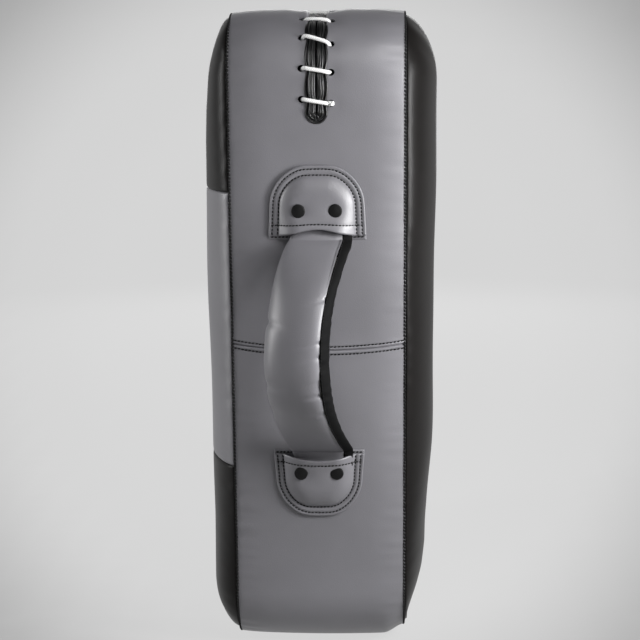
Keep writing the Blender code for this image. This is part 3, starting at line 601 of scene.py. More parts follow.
def gusset_height(s, y):
    """How far the gusset's leather stands out from the outline, with its puckers and dents."""
    depth = np.abs(y)
    _, _, _, nz = outline(s)
    drawn = draw_in(y) * (1 - np.where(nz < 0, 0.85, 0.6) * nz**2)
    height = -drawn + 1.1 * MM * np.cos(np.clip(y / SEAM_Y, -1, 1) * math.pi / 2)
    height = height - tuck(s) * smoothstep((y - 58 * MM) / (21 * MM)) ** 1.2
    near_seam = smoothstep((depth - 50 * MM) / (20 * MM)) * (1 - 0.6 * smoothstep((depth - 76 * MM) / (4 * MM)))
    pucker = np.where(y > 0, *(ripple(s, 9 * MM, 26 * MM, seed, y * 60) for seed in (11, 12)))
    height = height + 0.24 * MM * near_seam * pucker
    height = height + 0.55 * MM * ripple(s, 70 * MM, 260 * MM, 13, y * 25)
    for station, slope in lace_stations():
        for side in (-1, 1):
            along = from_top(s - (station + side * slope / 2))
            reach = (along / (8 * MM)) ** 2 + ((y - side * LACE_HOLE) / (9 * MM)) ** 2
            height = height - 0.8 * MM * np.exp(-reach) - 0.5 * MM * np.exp(-reach * 6)
    run = np.abs(from_top(s))
    seam = np.abs(run - MID_SEAM_S)
    height = height + 0.55 * MM * bump_curve(seam / (9 * MM))
    height = height - 0.5 * MM * bump_curve((seam - 3.6 * MM) / (1.3 * MM))
    on_bundle = smoothstep((CLOSURE_END - 8 * MM - run) / (5 * MM))
    height = height - (2.6 * MM + sink(s)) * bump_curve(np.clip(depth - 4 * MM, 0, None) / (5.5 * MM)) * on_bundle
    height = height - 0.25 * sink(s) * bump_curve(depth / (30 * MM))
    return height - 1.5 * MM * bump_curve(seam / (1.5 * MM))


def seam_roll():
    """How the gusset's edge turns in at the seam: depth and height past the flat part."""
    start = 78.0 * MM
    slope = math.atan(2.2 * SEAM_DRAW / DRAW_WIDTH * ((start - SEAM_Y + DRAW_WIDTH) / DRAW_WIDTH) ** 1.2)
    radius = (SEAM_Y - SEAM_GAP - start) / (1 - math.sin(slope))
    turns = np.linspace(slope, math.pi / 2, 7)[1:]
    y = start - radius * math.sin(slope) + radius * np.sin(turns)
    n = radius * (np.cos(turns) - math.cos(slope))
    y = np.append(y, [y[-1]] * 2)
    n = np.append(n, [n[-1] - 2.5 * MM, -SEAM_FLANGE])
    return start, y, n


def gusset_sheet(first, last):
    """Outer surface of one half of the gusset, from one mid seam round to the other."""
    half = (last - first) / 2
    ends = np.array([0, 0.35, 0.7, 1.1, 1.5, 2.0, 2.5, 2.9, 3.25, 3.6, 3.95, 4.3, 4.9, 5.7, 7, 8.5, 10.5])
    ends = ends * MM
    steps = round((half - ends[-1]) / (3 * MM))
    near = np.append(ends, np.linspace(ends[-1], half, steps + 1)[1:])
    s = np.concatenate([first + near, (last - near)[-2::-1]])
    start, roll_y, roll_n = seam_roll()
    flat = np.concatenate([np.linspace(0, 12, 7), np.linspace(16, 56, 11), np.linspace(58, 78, 15)]) * MM
    flat = flat[flat <= start + 1e-9]
    y = np.concatenate([flat, roll_y])
    y = np.concatenate([-y[:0:-1], y])
    depth_y = np.clip(y, -start, start)
    extra = np.concatenate([np.zeros(len(flat)), roll_n])
    extra = np.concatenate([extra[:0:-1], extra])
    grid_s, grid_y = np.meshgrid(s, depth_y, indexing="ij")
    height = gusset_height(grid_s, grid_y) + extra[None, :]
    points = on_body(grid_s, np.broadcast_to(y, grid_s.shape), height)
    return droop(points)


def outward(made, middle=lambda place: Vector((0, 0, MID_SEAM_Z))):
    """Make a sheet's faces look away from the body's middle, or from the middle for each place."""
    faces = made.data.polygons
    if sum((face.center - middle(face.center)).dot(face.normal) * face.area for face in faces) < 0:
        made.data.flip_normals()
    return made


def face_insets():
    start = [0.0, 0.25, 0.7, 1.4, 2.4, 3.8, 5.6, 8, 11, 14.5, 18.5, 23, 28, 33, 38.5, 44, 50, 56, 62]
    start = np.array(start) * MM
    return np.concatenate([start, np.linspace(68, 178, 20) * MM, [178 * MM]])


def face_ring(inset, s):
    """A ring of the outline moved inwards, with its corners kept round."""
    radius = max(CORNER_RADIUS - inset, 7 * MM)
    x, z, nx, nz = outline(s)
    corner_x = np.clip(x, -TOP_STRAIGHT, TOP_STRAIGHT)
    corner_z = np.clip(z, CORNER_RADIUS, HEIGHT - CORNER_RADIUS)
    reach_x = (HALF_WIDTH - inset - radius) / TOP_STRAIGHT
    reach_z = (HEIGHT / 2 - inset - radius) / (HEIGHT / 2 - CORNER_RADIUS)
    centre_z = HEIGHT / 2 + (corner_z - HEIGHT / 2) * reach_z
    return corner_x * reach_x + nx * radius, centre_z + nz * radius


def face_sheet(side):
    """Outer surface of one face: its turned-in edge, its crown and the flat middle."""
    s = np.linspace(0, ROUND, 465)[:-1]
    rings = []
    seed = 21 if side > 0 else 31
    pucker = ripple(s, 11 * MM, 30 * MM, seed)
    fold = ripple(s, 26 * MM, 70 * MM, seed + 1)
    seam_y = SEAM_Y + SEAM_GAP
    for inset in (SEAM_FLANGE, 2 * MM):
        x, z = face_ring(SEAM_DRAW + inset, s)
        rings.append(np.stack([x, np.full_like(s, side * seam_y), z], -1))
    _, _, nx, nz = outline(s)
    at_corner = np.clip(4 * (nx * nz) ** 2, 0, 1)
    insets = face_insets()
    for i, inset in enumerate(insets):
        x, z = face_ring(SEAM_DRAW + inset, s)
        if i == len(insets) - 1:
            x = np.zeros_like(x)
        depth = dome_depth(inset, x, z)
        gather = math.exp(-((inset - 5 * MM) / (9 * MM)) ** 2) * min(inset / (1 * MM), 1)
        crease = math.exp(-((inset - 14 * MM) / (22 * MM)) ** 2) * min(inset / (4 * MM), 1)
        push = gather * 0.2 * MM * pucker + crease * (0.1 + 0.2 * at_corner) * MM * fold
        lift = 0.45 * push
        rings.append(np.stack([x + nx * push, side * (seam_y + depth + lift), z + nz * push], -1))
    points = np.array(rings)
    fullness = swell(points[..., 2], side)
    points[..., 1] = side * (seam_y + (np.abs(points[..., 1]) - seam_y) * fullness)
    if side > 0:
        insets = np.concatenate([[0.0, 0.0], insets])
        drawn = tuck(s)[None, :] * (1 - smoothstep(insets / (50 * MM)))[:, None]
        points[..., 0] -= nx * drawn
        points[..., 2] -= nz * drawn
    spread = smoothstep(np.arange(len(rings)) / 14)[:, None]
    points[..., 1] += side * 0.8 * MM * drift(points, 130 * MM, seed) * spread
    return points


def groove(bm, z_seam):
    """Sew two panels together across the face: add edges at the seam and press it in."""
    for offset in (-4, -2.4, -1.4, -0.8, -0.35, 0, 0.35, 0.8, 1.4, 2.4, 4):
        geom = bm.verts[:] + bm.edges[:] + bm.faces[:]
        bmesh.ops.bisect_plane(bm, geom=geom, plane_co=(0, 0, z_seam + offset * MM), plane_no=(0, 0, 1), dist=1e-6)
    bm.normal_update()
    for vertex in bm.verts:
        away = abs(vertex.co.z - z_seam)
        if away < 4.2 * MM and abs(vertex.co.y) > SEAM_Y + 1 * MM:
            press = 1.1 * math.exp(-((away / (0.75 * MM)) ** 2)) + 0.35 * math.exp(-((away / (2.4 * MM)) ** 2))
            vertex.co -= vertex.normal * press * MM


def front_panels():
    """The three leathers of the striking face, cut at the band's seams, each returned with a slot name and its
    node.
    """
    mesh = grid_mesh("striking_face", face_sheet(-1), close_columns=True)
    bm = bmesh.new()
    bm.from_mesh(mesh)
    for z_seam in (BAND_TOP_Z, BAND_BOTTOM_Z):
        groove(bm, z_seam)
    made = []
    for place, low, high, dye in (("upper", BAND_TOP_Z, HEIGHT + CROWN, "black"),
                                  ("middle", BAND_BOTTOM_Z, BAND_TOP_Z, "grey"),
                                  ("lower", -CROWN, BAND_BOTTOM_Z, "black")):
        part = bm.copy()
        gone = [f for f in part.faces if not low < f.calc_center_median().z < high]
        bmesh.ops.delete(part, geom=gone, context="FACES")
        name = f"front_{place}_leather"
        piece = bpy.data.meshes.new(name)
        part.to_mesh(piece)
        part.free()
        made.append((new_object(name, piece, FINISH[dye]), f"{dye}_leather", f"front_{place}_panel"))
    bm.free()
    return made


# Finishes


def shader(name, source="Object"):
    """A new material with its node tree, its surface and the coordinates of its textures."""
    made = bpy.data.materials.new(name)
    made.use_nodes = True
    tree = made.node_tree
    return made, tree, tree.nodes["Principled BSDF"], add(tree, "ShaderNodeTexCoord").outputs[source]


def texture(tree, kind, place, values):
    made = add(tree, f"ShaderNodeTex{kind}", values)
    tree.links.new(place, made.inputs["Vector"])
    return made


def emboss(tree, surface, height, strength, distance, invert=False):
    """Bump on the surface from a height."""
    bump = add(tree, "ShaderNodeBump", {"Strength": strength, "Distance": distance})
    bump.invert = invert
    tree.links.new(height, bump.inputs["Height"])
    join(tree, (bump, "Normal", surface, "Normal"))


def shade(tree, surface, source, colour, levels, ends=(0.0, 1.0)):
    """Surface colour between two levels of one colour, following a texture: random tone on leather and metal,
    painted shade where the texture is the relief of the braid or the foam.
    """
    tone = add(tree, "ShaderNodeValToRGB")
    for element, end, level in zip(tone.color_ramp.elements, ends, levels):
        element.position = end
        element.color = (*(c * level for c in colour), 1)
    tree.links.new(source, tone.inputs["Fac"])
    join(tree, (tone, "Color", surface, "Base Color"))


def uneven_gloss(tree, surface, source, low, high):
    """Roughness between two values."""
    gloss = add(tree, "ShaderNodeMapRange", {"To Min": low, "To Max": high})
    tree.links.new(source, gloss.inputs["Value"])
    join(tree, (gloss, "Result", surface, "Roughness"))


def leather(name, colour, roughness, grain, depth, tint, specular):
    """Coated leather: fine pebbled grain, slow change of tone, slightly uneven gloss."""
    made, tree, surface, place = shader(name)
    pebble = add(tree, "ShaderNodeTexVoronoi")
    pebble.feature = "SMOOTH_F1"
    pebble.inputs["Scale"].default_value = 1 / grain
    pebble.inputs["Smoothness"].default_value = 0.6
    tree.links.new(place, pebble.inputs["Vector"])
    pores = texture(tree, "Noise", place, {"Scale": 2.4 / grain, "Detail": 3})
    slow = texture(tree, "Noise", place, {"Scale": 9, "Detail": 4})
    mix = add(tree, "ShaderNodeMath", {1: 0.45})
    mix.operation = "MULTIPLY_ADD"
    join(tree, (pores, "Fac", mix, 0), (pebble, "Distance", mix, 2))
    emboss(tree, surface, mix.outputs[0], 0.5, depth)
    shade(tree, surface, slow.outputs["Fac"], colour, (1 - tint, 1 + tint), (0.3, 0.7))
    uneven_gloss(tree, surface, pores.outputs["Fac"], roughness - 0.05, roughness + 0.06)
    surface.inputs["Specular IOR Level"].default_value = specular
    return made


def thread(name, colour, twist, depth):
    """Twisted thread: fine slanting ridges."""
    made, tree, surface, place = shader(name)
    wave = texture(tree, "Wave", place, {"Scale": 1 / twist, "Distortion": 1.5, "Detail": 2})
    wave.bands_direction = "DIAGONAL"
    emboss(tree, surface, wave.outputs["Fac"], 0.5, depth)
    # Painted shade: the colour is darker in the grooves between the twisted ridges
    tone = add(tree, "ShaderNodeMapRange")
    tone.data_type = "FLOAT_VECTOR"
    tone.inputs["To Min"].default_value = tuple(c * 0.82 for c in colour)
    tone.inputs["To Max"].default_value = colour
    spread = add(tree, "ShaderNodeCombineXYZ")
    join(tree, *((wave, "Fac", spread, axis) for axis in range(3)),
         (spread, 0, tone, "Vector"), (tone, "Vector", surface, "Base Color"))
    surface.inputs["Roughness"].default_value = 0.75
    surface.inputs["Specular IOR Level"].default_value = 0.25
    return made


def braid(name, colour, pitch, depth, source="UV"):
    """Braided cord or woven webbing: two sets of slanting strands that cross."""
    made, tree, surface, place = shader(name, source)
    top = add(tree, "ShaderNodeMath")
    top.operation = "MAXIMUM"
    for socket, turn in enumerate((0.6, -0.6)):
        lay = add(tree, "ShaderNodeMapping", {"Rotation": (0, 0, turn)})
        tree.links.new(place, lay.inputs["Vector"])
        wave = texture(tree, "Wave", lay.outputs["Vector"], {"Scale": 0.32 / pitch, "Distortion": 0.4})
        join(tree, (wave, "Fac", top, socket))
    emboss(tree, surface, top.outputs[0], 0.6, depth)
    # Painted shade: the colour is darker where the strands lie low, in the hollows between them
    shade(tree, surface, top.outputs[0], colour, (0.75, 1), (0.2, 1.0))
    surface.inputs["Roughness"].default_value = 0.8
    surface.inputs["Sheen Weight"].default_value = 0.2
    return made


def metal(name, colour, roughness, shine=0.9, specular=0.5):
    """Painted or plated metal with a faint orange-peel surface and rubbed places."""
    made, tree, surface, place = shader(name)
    peel = texture(tree, "Noise", place, {"Scale": 900})
    rub = texture(tree, "Noise", place, {"Scale": 220, "Detail": 4})
    emboss(tree, surface, peel.outputs["Fac"], 0.2, 0.03 * MM)
    uneven_gloss(tree, surface, rub.outputs["Fac"], roughness - 0.08, roughness + 0.14)
    shade(tree, surface, rub.outputs["Fac"], colour, (0.8, 1.3))
    surface.inputs["Metallic"].default_value = shine
    surface.inputs["Specular IOR Level"].default_value = specular
    return made


def foam(name, colour):
    """Cut foam with small open cells."""
    made, tree, surface, place = shader(name)
    cell = texture(tree, "Voronoi", place, {"Scale": 600})
    emboss(tree, surface, cell.outputs["Distance"], 0.7, 0.4 * MM, invert=True)
    # Painted shade in the open cells: the colour is darker towards the middle of each cell
    shade(tree, surface, cell.outputs["Distance"], colour, (0.55, 1))
    surface.inputs["Roughness"].default_value = 0.95
    return made


FINISH = {
    "grey": leather("grey_coated_leather", (0.160, 0.157, 0.170), 0.40, 0.9 * MM, 0.15 * MM, 0.12, 0.6),
    "black": leather("black_coated_leather", (0.0065, 0.0058, 0.0055), 0.38, 0.9 * MM, 0.07 * MM, 0.1, 0.13),
    "soft_black": leather("black_lip_leather", (0.005, 0.005, 0.0052), 0.3, 0.8 * MM, 0.08 * MM, 0.15, 0.4),
    "thread": thread("black_thread", (0.006, 0.006, 0.006), 0.5 * MM, 0.05 * MM),
    "cord": braid("white_lace_cord", (0.84, 0.84, 0.83), 1.5 * MM, 0.16 * MM),
    "neoprene": leather("black_neoprene", (0.0035, 0.0035, 0.0037), 0.75, 0.7 * MM, 0.12 * MM, 0.15, 0.1),
    "webbing": braid("black_webbing", (0.018, 0.018, 0.019), 2.2 * MM, 0.2 * MM, "Object"),
    "rivet": metal("black_rivet", (0.003, 0.003, 0.003), 0.5, 0.0, 0.2),
    "steel": metal("zinc_steel", (0.5, 0.5, 0.51), 0.3),
    "foam": foam("packing_foam", (0.42, 0.42, 0.40)),
}


TREES = {"stitch": stitch_tree(), "set": scatter_tree()}


# Body of the pad


def dress(made, body, slot, *nodes):
    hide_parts(*nodes)
    if body:
        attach(made, body)
    return made


def make_body():
    """The leathers of the cover: two halves of the gusset, three panels of the striking face and the back."""
    sheets = []
    for place, first, last in (("upper", -MID_SEAM_S, MID_SEAM_S), ("lower", MID_SEAM_S, ROUND - MID_SEAM_S)):
        half = new_object(f"{place}_gusset_leather", grid_mesh(place, gusset_sheet(first, last)), FINISH["grey"])
        sheets.append((half, "grey_leather", f"{place}_gusset"))
    sheets += front_panels()
    back = new_object("back_leather", grid_mesh("back_face", face_sheet(1), close_columns=True), FINISH["black"])
    sheets.append((back, "black_leather", "back_panel"))
    for made, slot, node in sheets:
        thicken(outward(made), LEATHER)
        if node == "upper_gusset":
            punch_holes(made)
        dress(made, "root", slot, node)


# Foam inside the body


def make_foam_blocks():
    """A striking layer, a core and a back layer of foam, a little inside the leather."""
    s = np.linspace(0, ROUND, 233)[:-1]
    across = np.linspace(-75, 75, 31) * MM
    grid_s, grid_y = np.meshgrid(s, across, indexing="ij")
    drum = on_body(grid_s, grid_y, gusset_height(grid_s, grid_y) - FOAM_GAP)
    middle = np.array([0.0, 0.0, MID_SEAM_Z])
    shares = (0.0, 0.5, 0.95)
    near, far = ([middle + (drum[:, end] - middle) * np.array([share, 1.0, share]) for share in shares]
                 for end in (0, -1))
    columns = near + [drum[:, i] for i in range(drum.shape[1])] + far[::-1]
    core = grid_mesh("core", np.stack(columns, 1), close_rows=True)
    pieces = [(new_object("core_foam_block", core, FINISH["foam"]), "core_foam")]
    for side, layer in ((-1, "strike_foam"), (1, "back_foam")):
        name = f"{layer}_block"
        top = face_sheet(side)[7:, ::2].transpose(1, 0, 2).copy()
        top[..., 1] = side * np.maximum(np.abs(top[..., 1]) - 3.2 * MM, SEAM_Y - 2 * MM)
        top[:, -1, 0] = 0.0
        bottom = top.copy()
        bottom[..., 1] = side * (SEAM_Y - 4 * MM)
        pieces.append((new_object(name, closed_shell(name, top, bottom, True), FINISH["foam"]), layer))
    for made, node in pieces:
        dress(made, "root", "dense_foam", node)


# Seams of the body


def body_out(s):
    _, _, nx, nz = outline(s)
    return np.stack([nx, np.zeros_like(nx), nz], -1)


def make_body_stitches():
    s = np.linspace(0, ROUND, 1200)
    runs = []
    for side in (-1, 1):
        wander = 0.15 * MM * ripple(s, 60 * MM, 200 * MM, 41 + side)
        height = gusset_height(s, np.full_like(s, side * 78 * MM)) + 0.1 * MM + wander
        height -= 1.0 * MM * outline(s)[3] ** 4
        points = droop(on_body(s, side * (SEAM_Y - 0.9 * MM), height))
        runs.append((points, body_out(s) + np.array([0, side * 0.5, 0])))
    sew("side_seam_stitches", runs, "root", **SIDE_SEAM)
    runs = []
    y = np.linspace(-76.5, 76.5, 90) * MM
    for middle in (MID_SEAM_S, ROUND - MID_SEAM_S):
        for offset in (-3.6 * MM, 3.6 * MM):
            along = middle + offset + 0.15 * MM * np.sin(y * 90)
            points = droop(on_body(along, y, gusset_height(along, y) + 0.3 * MM))
            runs.append((points, body_out(np.full_like(y, along[0]))))
    sew("mid_seam_stitches", runs, "root", **MID_SEAM)


# Laced closure over the upper end


def punch_holes(gusset):
    """Real holes through the leather on both sides of the bundle, one for each end of a crossing."""
    places = []
    for station, slope in lace_stations():
        for side in (-1, 1):
            s = station + side * slope / 2
            centre = on_body(s, side * LACE_HOLE, 0.0)
            _, _, nx, nz = outline(np.array(s))
            places.append((centre[None, :], np.array([[float(nx), 0.0, float(nz)]])))
    points = new_object("hole_places", path_mesh("hole_places", places))
    low, high = -5 * MM, 3 * MM
    punch = turned_mesh("punch", ((0.0, low), (HOLE_RADIUS, low), (HOLE_RADIUS, high), (0.0, high)), 20)
    punches = new_object("punches", punch)
    run_tree(punches, TREES["set"], Places=points, Finish=FINISH["grey"])
    cut = gusset.modifiers.new("Holes", "BOOLEAN")
    cut.operation = "DIFFERENCE"
    cut.solver = "EXACT"
    cut.object = punches
    bake(gusset)
    gusset.data.shade_smooth()
    gusset.data.set_sharp_from_angle(angle=math.radians(40))
    for gone in (points, punches):
        bpy.data.objects.remove(gone)


def make_tongue():
    """The flap of fabric behind the slit."""
    end = CLOSURE_END + TONGUE_PAST
    s, y = np.meshgrid(np.linspace(-end, end, 260), np.linspace(-17, 17, 15) * MM, indexing="ij")
    flap = grid_mesh("tongue", on_body(s, y, -TONGUE_DEPTH - sink(s)))
    flap = new_object("closure_tongue_fabric", flap, FINISH["neoprene"])
    thicken(outward(flap), TONGUE_WALL)
    dress(flap, "root", "black_fabric", "closure_tongue")


def from_crossing(s):
    """Distance to the nearest crossing of the lace."""
    return np.min([np.abs(s - station) for station, _ in lace_stations()], axis=0)


def bundle_half(s):
    """Half width of the bundle: pinched under each crossing of the lace."""
    drawn = 1.5 * MM * np.exp(-((from_crossing(s) / (5.5 * MM)) ** 2))
    return BUNDLE_HALF - drawn + 0.35 * MM * ripple(s, 20 * MM, 60 * MM, 51)


def pinch(s):
    return np.exp(-((from_crossing(s) / (6 * MM)) ** 2))


def bundle_path(side=None):
    """Stations all round the bundle, or along one side: distance along its middle, turn round its ends."""
    straight = CLOSURE_END - BUNDLE_HALF
    run = np.linspace(-straight, straight, 380)
    level = np.zeros(len(run))
    if side is None:
        arc = np.linspace(0, math.pi, 24)[1:-1]
        s = np.concatenate([run, np.full(len(arc), straight), run[::-1], np.full(len(arc), -straight)])
        return s, np.concatenate([level, arc, level + math.pi, math.pi + arc]), None
    turn = np.linspace(0, math.pi / 2, 12)
    s = np.concatenate([np.full(11, -straight), run, np.full(11, straight)])
    return s, np.concatenate([-(math.pi / 2 - turn[:-1]), level, turn[1:]]), np.full(len(s), side)


def bundle_points(s, angle, sides, share, height):
    """Points of the bundle: share runs from its edge to its middle."""
    reach = bundle_half(s)[:, None] * (1 - share)
    y = reach * np.cos(angle)[:, None]
    if sides is not None:
        y = sides[:, None] * np.maximum(y, SLIT_HALF)
    return on_body(s[:, None] + reach * np.sin(angle)[:, None], y, height - sink(s)[:, None])


def make_closure():
    """The binding round the slit, the two padded lips in it, the tongue behind it and the lace over it."""
    path = bundle_path()
    share = np.linspace(0, BINDING_SHARE, 10)[None, :]
    roll = np.sqrt(np.clip(1 - (2 * share / BINDING_SHARE - 1) ** 2, 0, 1))
    height = BINDING_RISE + (1.9 - 0.5 * pinch(path[0]))[:, None] * MM * roll
    top = bundle_points(*path, share, height)
    bottom = bundle_points(*path, share, np.full_like(height, BINDING_UNDER))
    binding = closed_shell("binding", top, bottom, True)
    binding = new_object("closure_binding_leather", binding, FINISH["soft_black"])
    dress(binding, "root", "black_leather", "closure_binding")
    for name, side in (("front", -1), ("back", 1)):
        path = bundle_path(side)
        s, angle, _ = path
        share = np.linspace(LIP_SHARE, 1.0, 30)[None, :]
        q = (share - LIP_SHARE) / (1 - LIP_SHARE)
        roll = np.clip(1 - np.abs(2 * q - 1) ** 2.6, 0, 1) ** 0.5
        seed = 61 + side
        high = (4.3 - 1.3 * pinch(s) + 0.3 * ripple(s, 14 * MM, 50 * MM, seed))[:, None] * MM
        ends = smoothstep((CLOSURE_END - np.abs(s + 10 * MM * np.sin(angle))) / (13 * MM))[:, None]
        wander = 0.05 * ripple(s, 18 * MM, 60 * MM, seed + 3)[:, None]
        folds = np.exp(-(((q - 0.36 - wander) / 0.07) ** 2)) * 0.95
        folds = folds + np.exp(-(((q - 0.70 + wander) / 0.06) ** 2)) * 0.75
        tight = (0.25 + 0.75 * np.maximum(pinch(s), 1 - ends[:, 0]))[:, None]
        fine = ripple(s + 0.6 * MM * side, 3.2 * MM, 7 * MM, seed + 5)[:, None] * 0.22 * MM
        fine = fine * tight * np.sin(q * math.pi)
        turn_pleats = 0.5 * MM * np.cos(angle * 9 + side)[:, None] * (1 - ends) * np.sin(q * math.pi)
        height = LIP_RISE + high * roll * (0.55 + 0.45 * ends) - folds * MM * roll + fine + turn_pleats
        top = bundle_points(*path, share, height)
        bottom = bundle_points(*path, share, np.full_like(height, -LIP_UNDER))
        lip = new_object(f"closure_{name}_lip_leather", closed_shell("lip", top, bottom), FINISH["soft_black"])
        dress(lip, "root", "black_leather", f"closure_{name}_lip")
    make_tongue()
    make_lace()


def lace_route():
    """The lace over the bundle, in at the back hole and under to the next front hole."""
    points = []
    stations = lace_stations()
    rise = ((LACE_REACH, -5.2), (12.0, -2.4), (11.5, 0.2), (10.0, 2.9))
    for i, (s, slope) in enumerate(stations):
        front = s - slope / 2
        back = s + slope / 2
        over = [(-y, n, front) for y, n in rise]
        over += [(-7.2, 4.0, s - slope * 0.33), (0, 4.4, s), (7.2, 4.0, s + slope * 0.33)]
        over += [(y, n, back) for y, n in rise[::-1]]
        points += [(along, y * MM, n * MM) for y, n, along in over]
        if i < len(stations) - 1:
            following = stations[i + 1][0] - stations[i + 1][1] / 2
            for share in (0.14, 0.5, 0.86):
                points.append((back + (following - back) * share, LACE_REACH * MM * (1 - 2 * share), -LACE_UNDER))
    return points[2:-2]


def knot(name, centre, size):
    """A small overhand knot pulled tight."""
    t = np.linspace(0, 2 * math.pi, 61)[:-1]
    loop = np.stack([np.sin(t) + 2 * np.sin(2 * t), np.cos(t) - 2 * np.cos(2 * t), -np.sin(3 * t)], -1)
    return tube(name, centre + loop * size, LACE_RADIUS * 0.8, 10, closed=True)


def make_lace():
    route = lace_route()
    along, across, height = (np.array(column) for column in zip(*route))
    points = smooth_path(on_body(along, across, height - sink(along)), 4)
    lace = new_object("white_lace", tube("lace", points, LACE_RADIUS, 12), FINISH["cord"])
    dress(lace, "root", "white_cord", "closure_lace")
    for name, end, side in (("left", 0, -1), ("right", -1, 1)):
        place = on_body(along[end], across[end] + side * 1.6 * MM, 2.2 * MM)
        made = new_object(f"lace_end_knot_{name}", knot("knot", place, KNOT_SIZE), FINISH["cord"])
        dress(made, "root", "white_cord", f"lace_knot_{name}")


# Handle anchors


def on_side(side, out, y, up):
    """Points on one side of the body: out from the gusset, across, and up from the handle's middle."""
    out, y, up = np.broadcast_arrays(out, y, up)
    return np.stack([side * (HALF_WIDTH + out), y, MID_SEAM_Z + up], -1)


def anchor_ring(inset, mouth, far, count=81):
    """Points along the edge of the anchor's D shape, moved in, from one end of its mouth to the other."""
    half = max(ANCHOR_HALF - inset, 0.0)
    top = far - inset
    radius = min(max(ANCHOR_RADIUS - inset * 0.9, 1 * MM), half)
    side = top - radius - mouth
    across = 2 * (half - radius)
    reach = np.linspace(0, 1, count) * 2 - 1
    arc_end = 0.42
    arc_start = 0.78
    half_run = np.abs(reach)
    share_flat = np.clip(half_run / (1 - arc_start), 0, 1)
    share_arc = np.clip((half_run - (1 - arc_start)) / (arc_start - arc_end), 0, 1)
    share_side = np.clip((half_run - (1 - arc_end)) / arc_end, 0, 1)
    angle = share_arc * math.pi / 2
    y = share_flat * across / 2 + radius * np.sin(angle)
    up = top - radius + radius * np.cos(angle) - share_side * side
    bow = np.cos(np.clip(y / ANCHOR_HALF, -1, 1) * math.pi / 2) ** 2 * smoothstep((up - 130 * MM) / (30 * MM))
    return y * np.sign(reach), up + 1.6 * MM * bow


def patch_height(y, up, inset, patch):
    """How far the patch stands out: flat stitched rim, raised middle, mouth pushed up by the handle."""
    full = np.clip((inset - 8.4 * MM) / (20 * MM), 0, 1)
    rise = (1 - (1 - full) ** 2.3) * smoothstep((inset - 7.8 * MM) / (3 * MM))
    height = COVER_RIM + (COVER_TOP - COVER_RIM + 0.9 * MM) * rise
    crown = 0.5 * MM * rise * np.cos(np.clip(y / MOUTH_RUN, -1, 1) * math.pi / 2)
    into = (up - patch["mouth"]) / (15 * MM)
    wide = bump_curve(np.clip(np.abs(y) - 14 * MM, 0, None) / (23 * MM))
    mouth = 4.6 * MM * np.exp(-np.clip(into, 0, None) ** 1.5) * wide
    dents = 0.0
    for place in (-RIVET_Y, RIVET_Y):
        away = np.hypot(y - place, up - patch["rivets"])
        dents = dents + 1.1 * MM * np.exp(-((away / (8.5 * MM)) ** 2)) * (away > 0)
    height = height + crown + mouth - dents
    for row in PATCH_ROWS:
        height = height - ROW_PRESS * np.exp(-(((inset - row) / ROW_WIDTH) ** 2))
    height = height + 0.25 * MM * np.exp(-(((inset - 5.6 * MM) / (1.6 * MM)) ** 2))
    hem = np.exp(-(((up - hem_line(y, patch)) / ROW_WIDTH) ** 2))
    return height - ROW_PRESS * hem * smoothstep(inset / (6 * MM))


def mouth_bow(y, patch):
    """How far the middle of the mouth's edge is pulled in."""
    return patch["bow"] * bump_curve(y / MOUTH_RUN)


def hem_line(y, patch):
    """Where the row of stitches beside the mouth runs: nearly straight."""
    return patch["mouth"] + patch["hem"] + 0.28 * mouth_bow(y, patch)


def patch_ring(inset, mouth, patch, count=81):
    """The edge of a patch moved in, with the bow of its mouth."""
    y, up = anchor_ring(inset, mouth, patch["far"], count)
    return y, up + mouth_bow(y, patch) * bump_curve((up - patch["mouth"]) / MOUTH_RUN)


def on_patch(side, turn, patch, y, up, height):
    """Points of a patch, which gets narrower away from its mouth."""
    along = np.clip((up - patch["mouth"]) / (patch["far"] - patch["mouth"]), 0, 1)
    return on_side(side, height, y * (patch["width"] - patch["taper"] * along), turn * up)


def patch_points(side, turn, patch):
    insets = np.concatenate([[0, 0, 0.25, 0.7], np.arange(1.3, 12, 0.7), np.arange(12.5, 44, 1.5), [44]]) * MM
    rings = []
    for i, inset in enumerate(insets):
        y, up = patch_ring(inset, patch["mouth"], patch)
        height = patch_height(y, up, inset, patch)
        if i == 0:
            height = np.full_like(y, 2.5 * MM)
        elif i < 3:
            height = height - (0.75 * MM, 0.25 * MM)[i - 1]
        rings.append(on_patch(side, turn, patch, y, up, height))
    return np.array(rings)


def base_points(side, turn, patch):
    rings = []
    insets = np.concatenate([[0, 0, 0.3], np.arange(1.5, 44, 2.2), [44]]) * MM
    for i, inset in enumerate(insets):
        y, up = anchor_ring(inset, patch["mouth"] - 3.5 * MM, patch["far"])
        height = np.full_like(y, BASE_RISE)
        if i < 2:
            height -= (1.5 * MM, 0.4 * MM)[i]
        height = height - 0.3 * MM * np.exp(-(((up - patch["mouth"] + BASE_ROW) / (0.8 * MM)) ** 2))
        rings.append(on_patch(side, turn, patch, y, up, height))
    return np.array(rings)


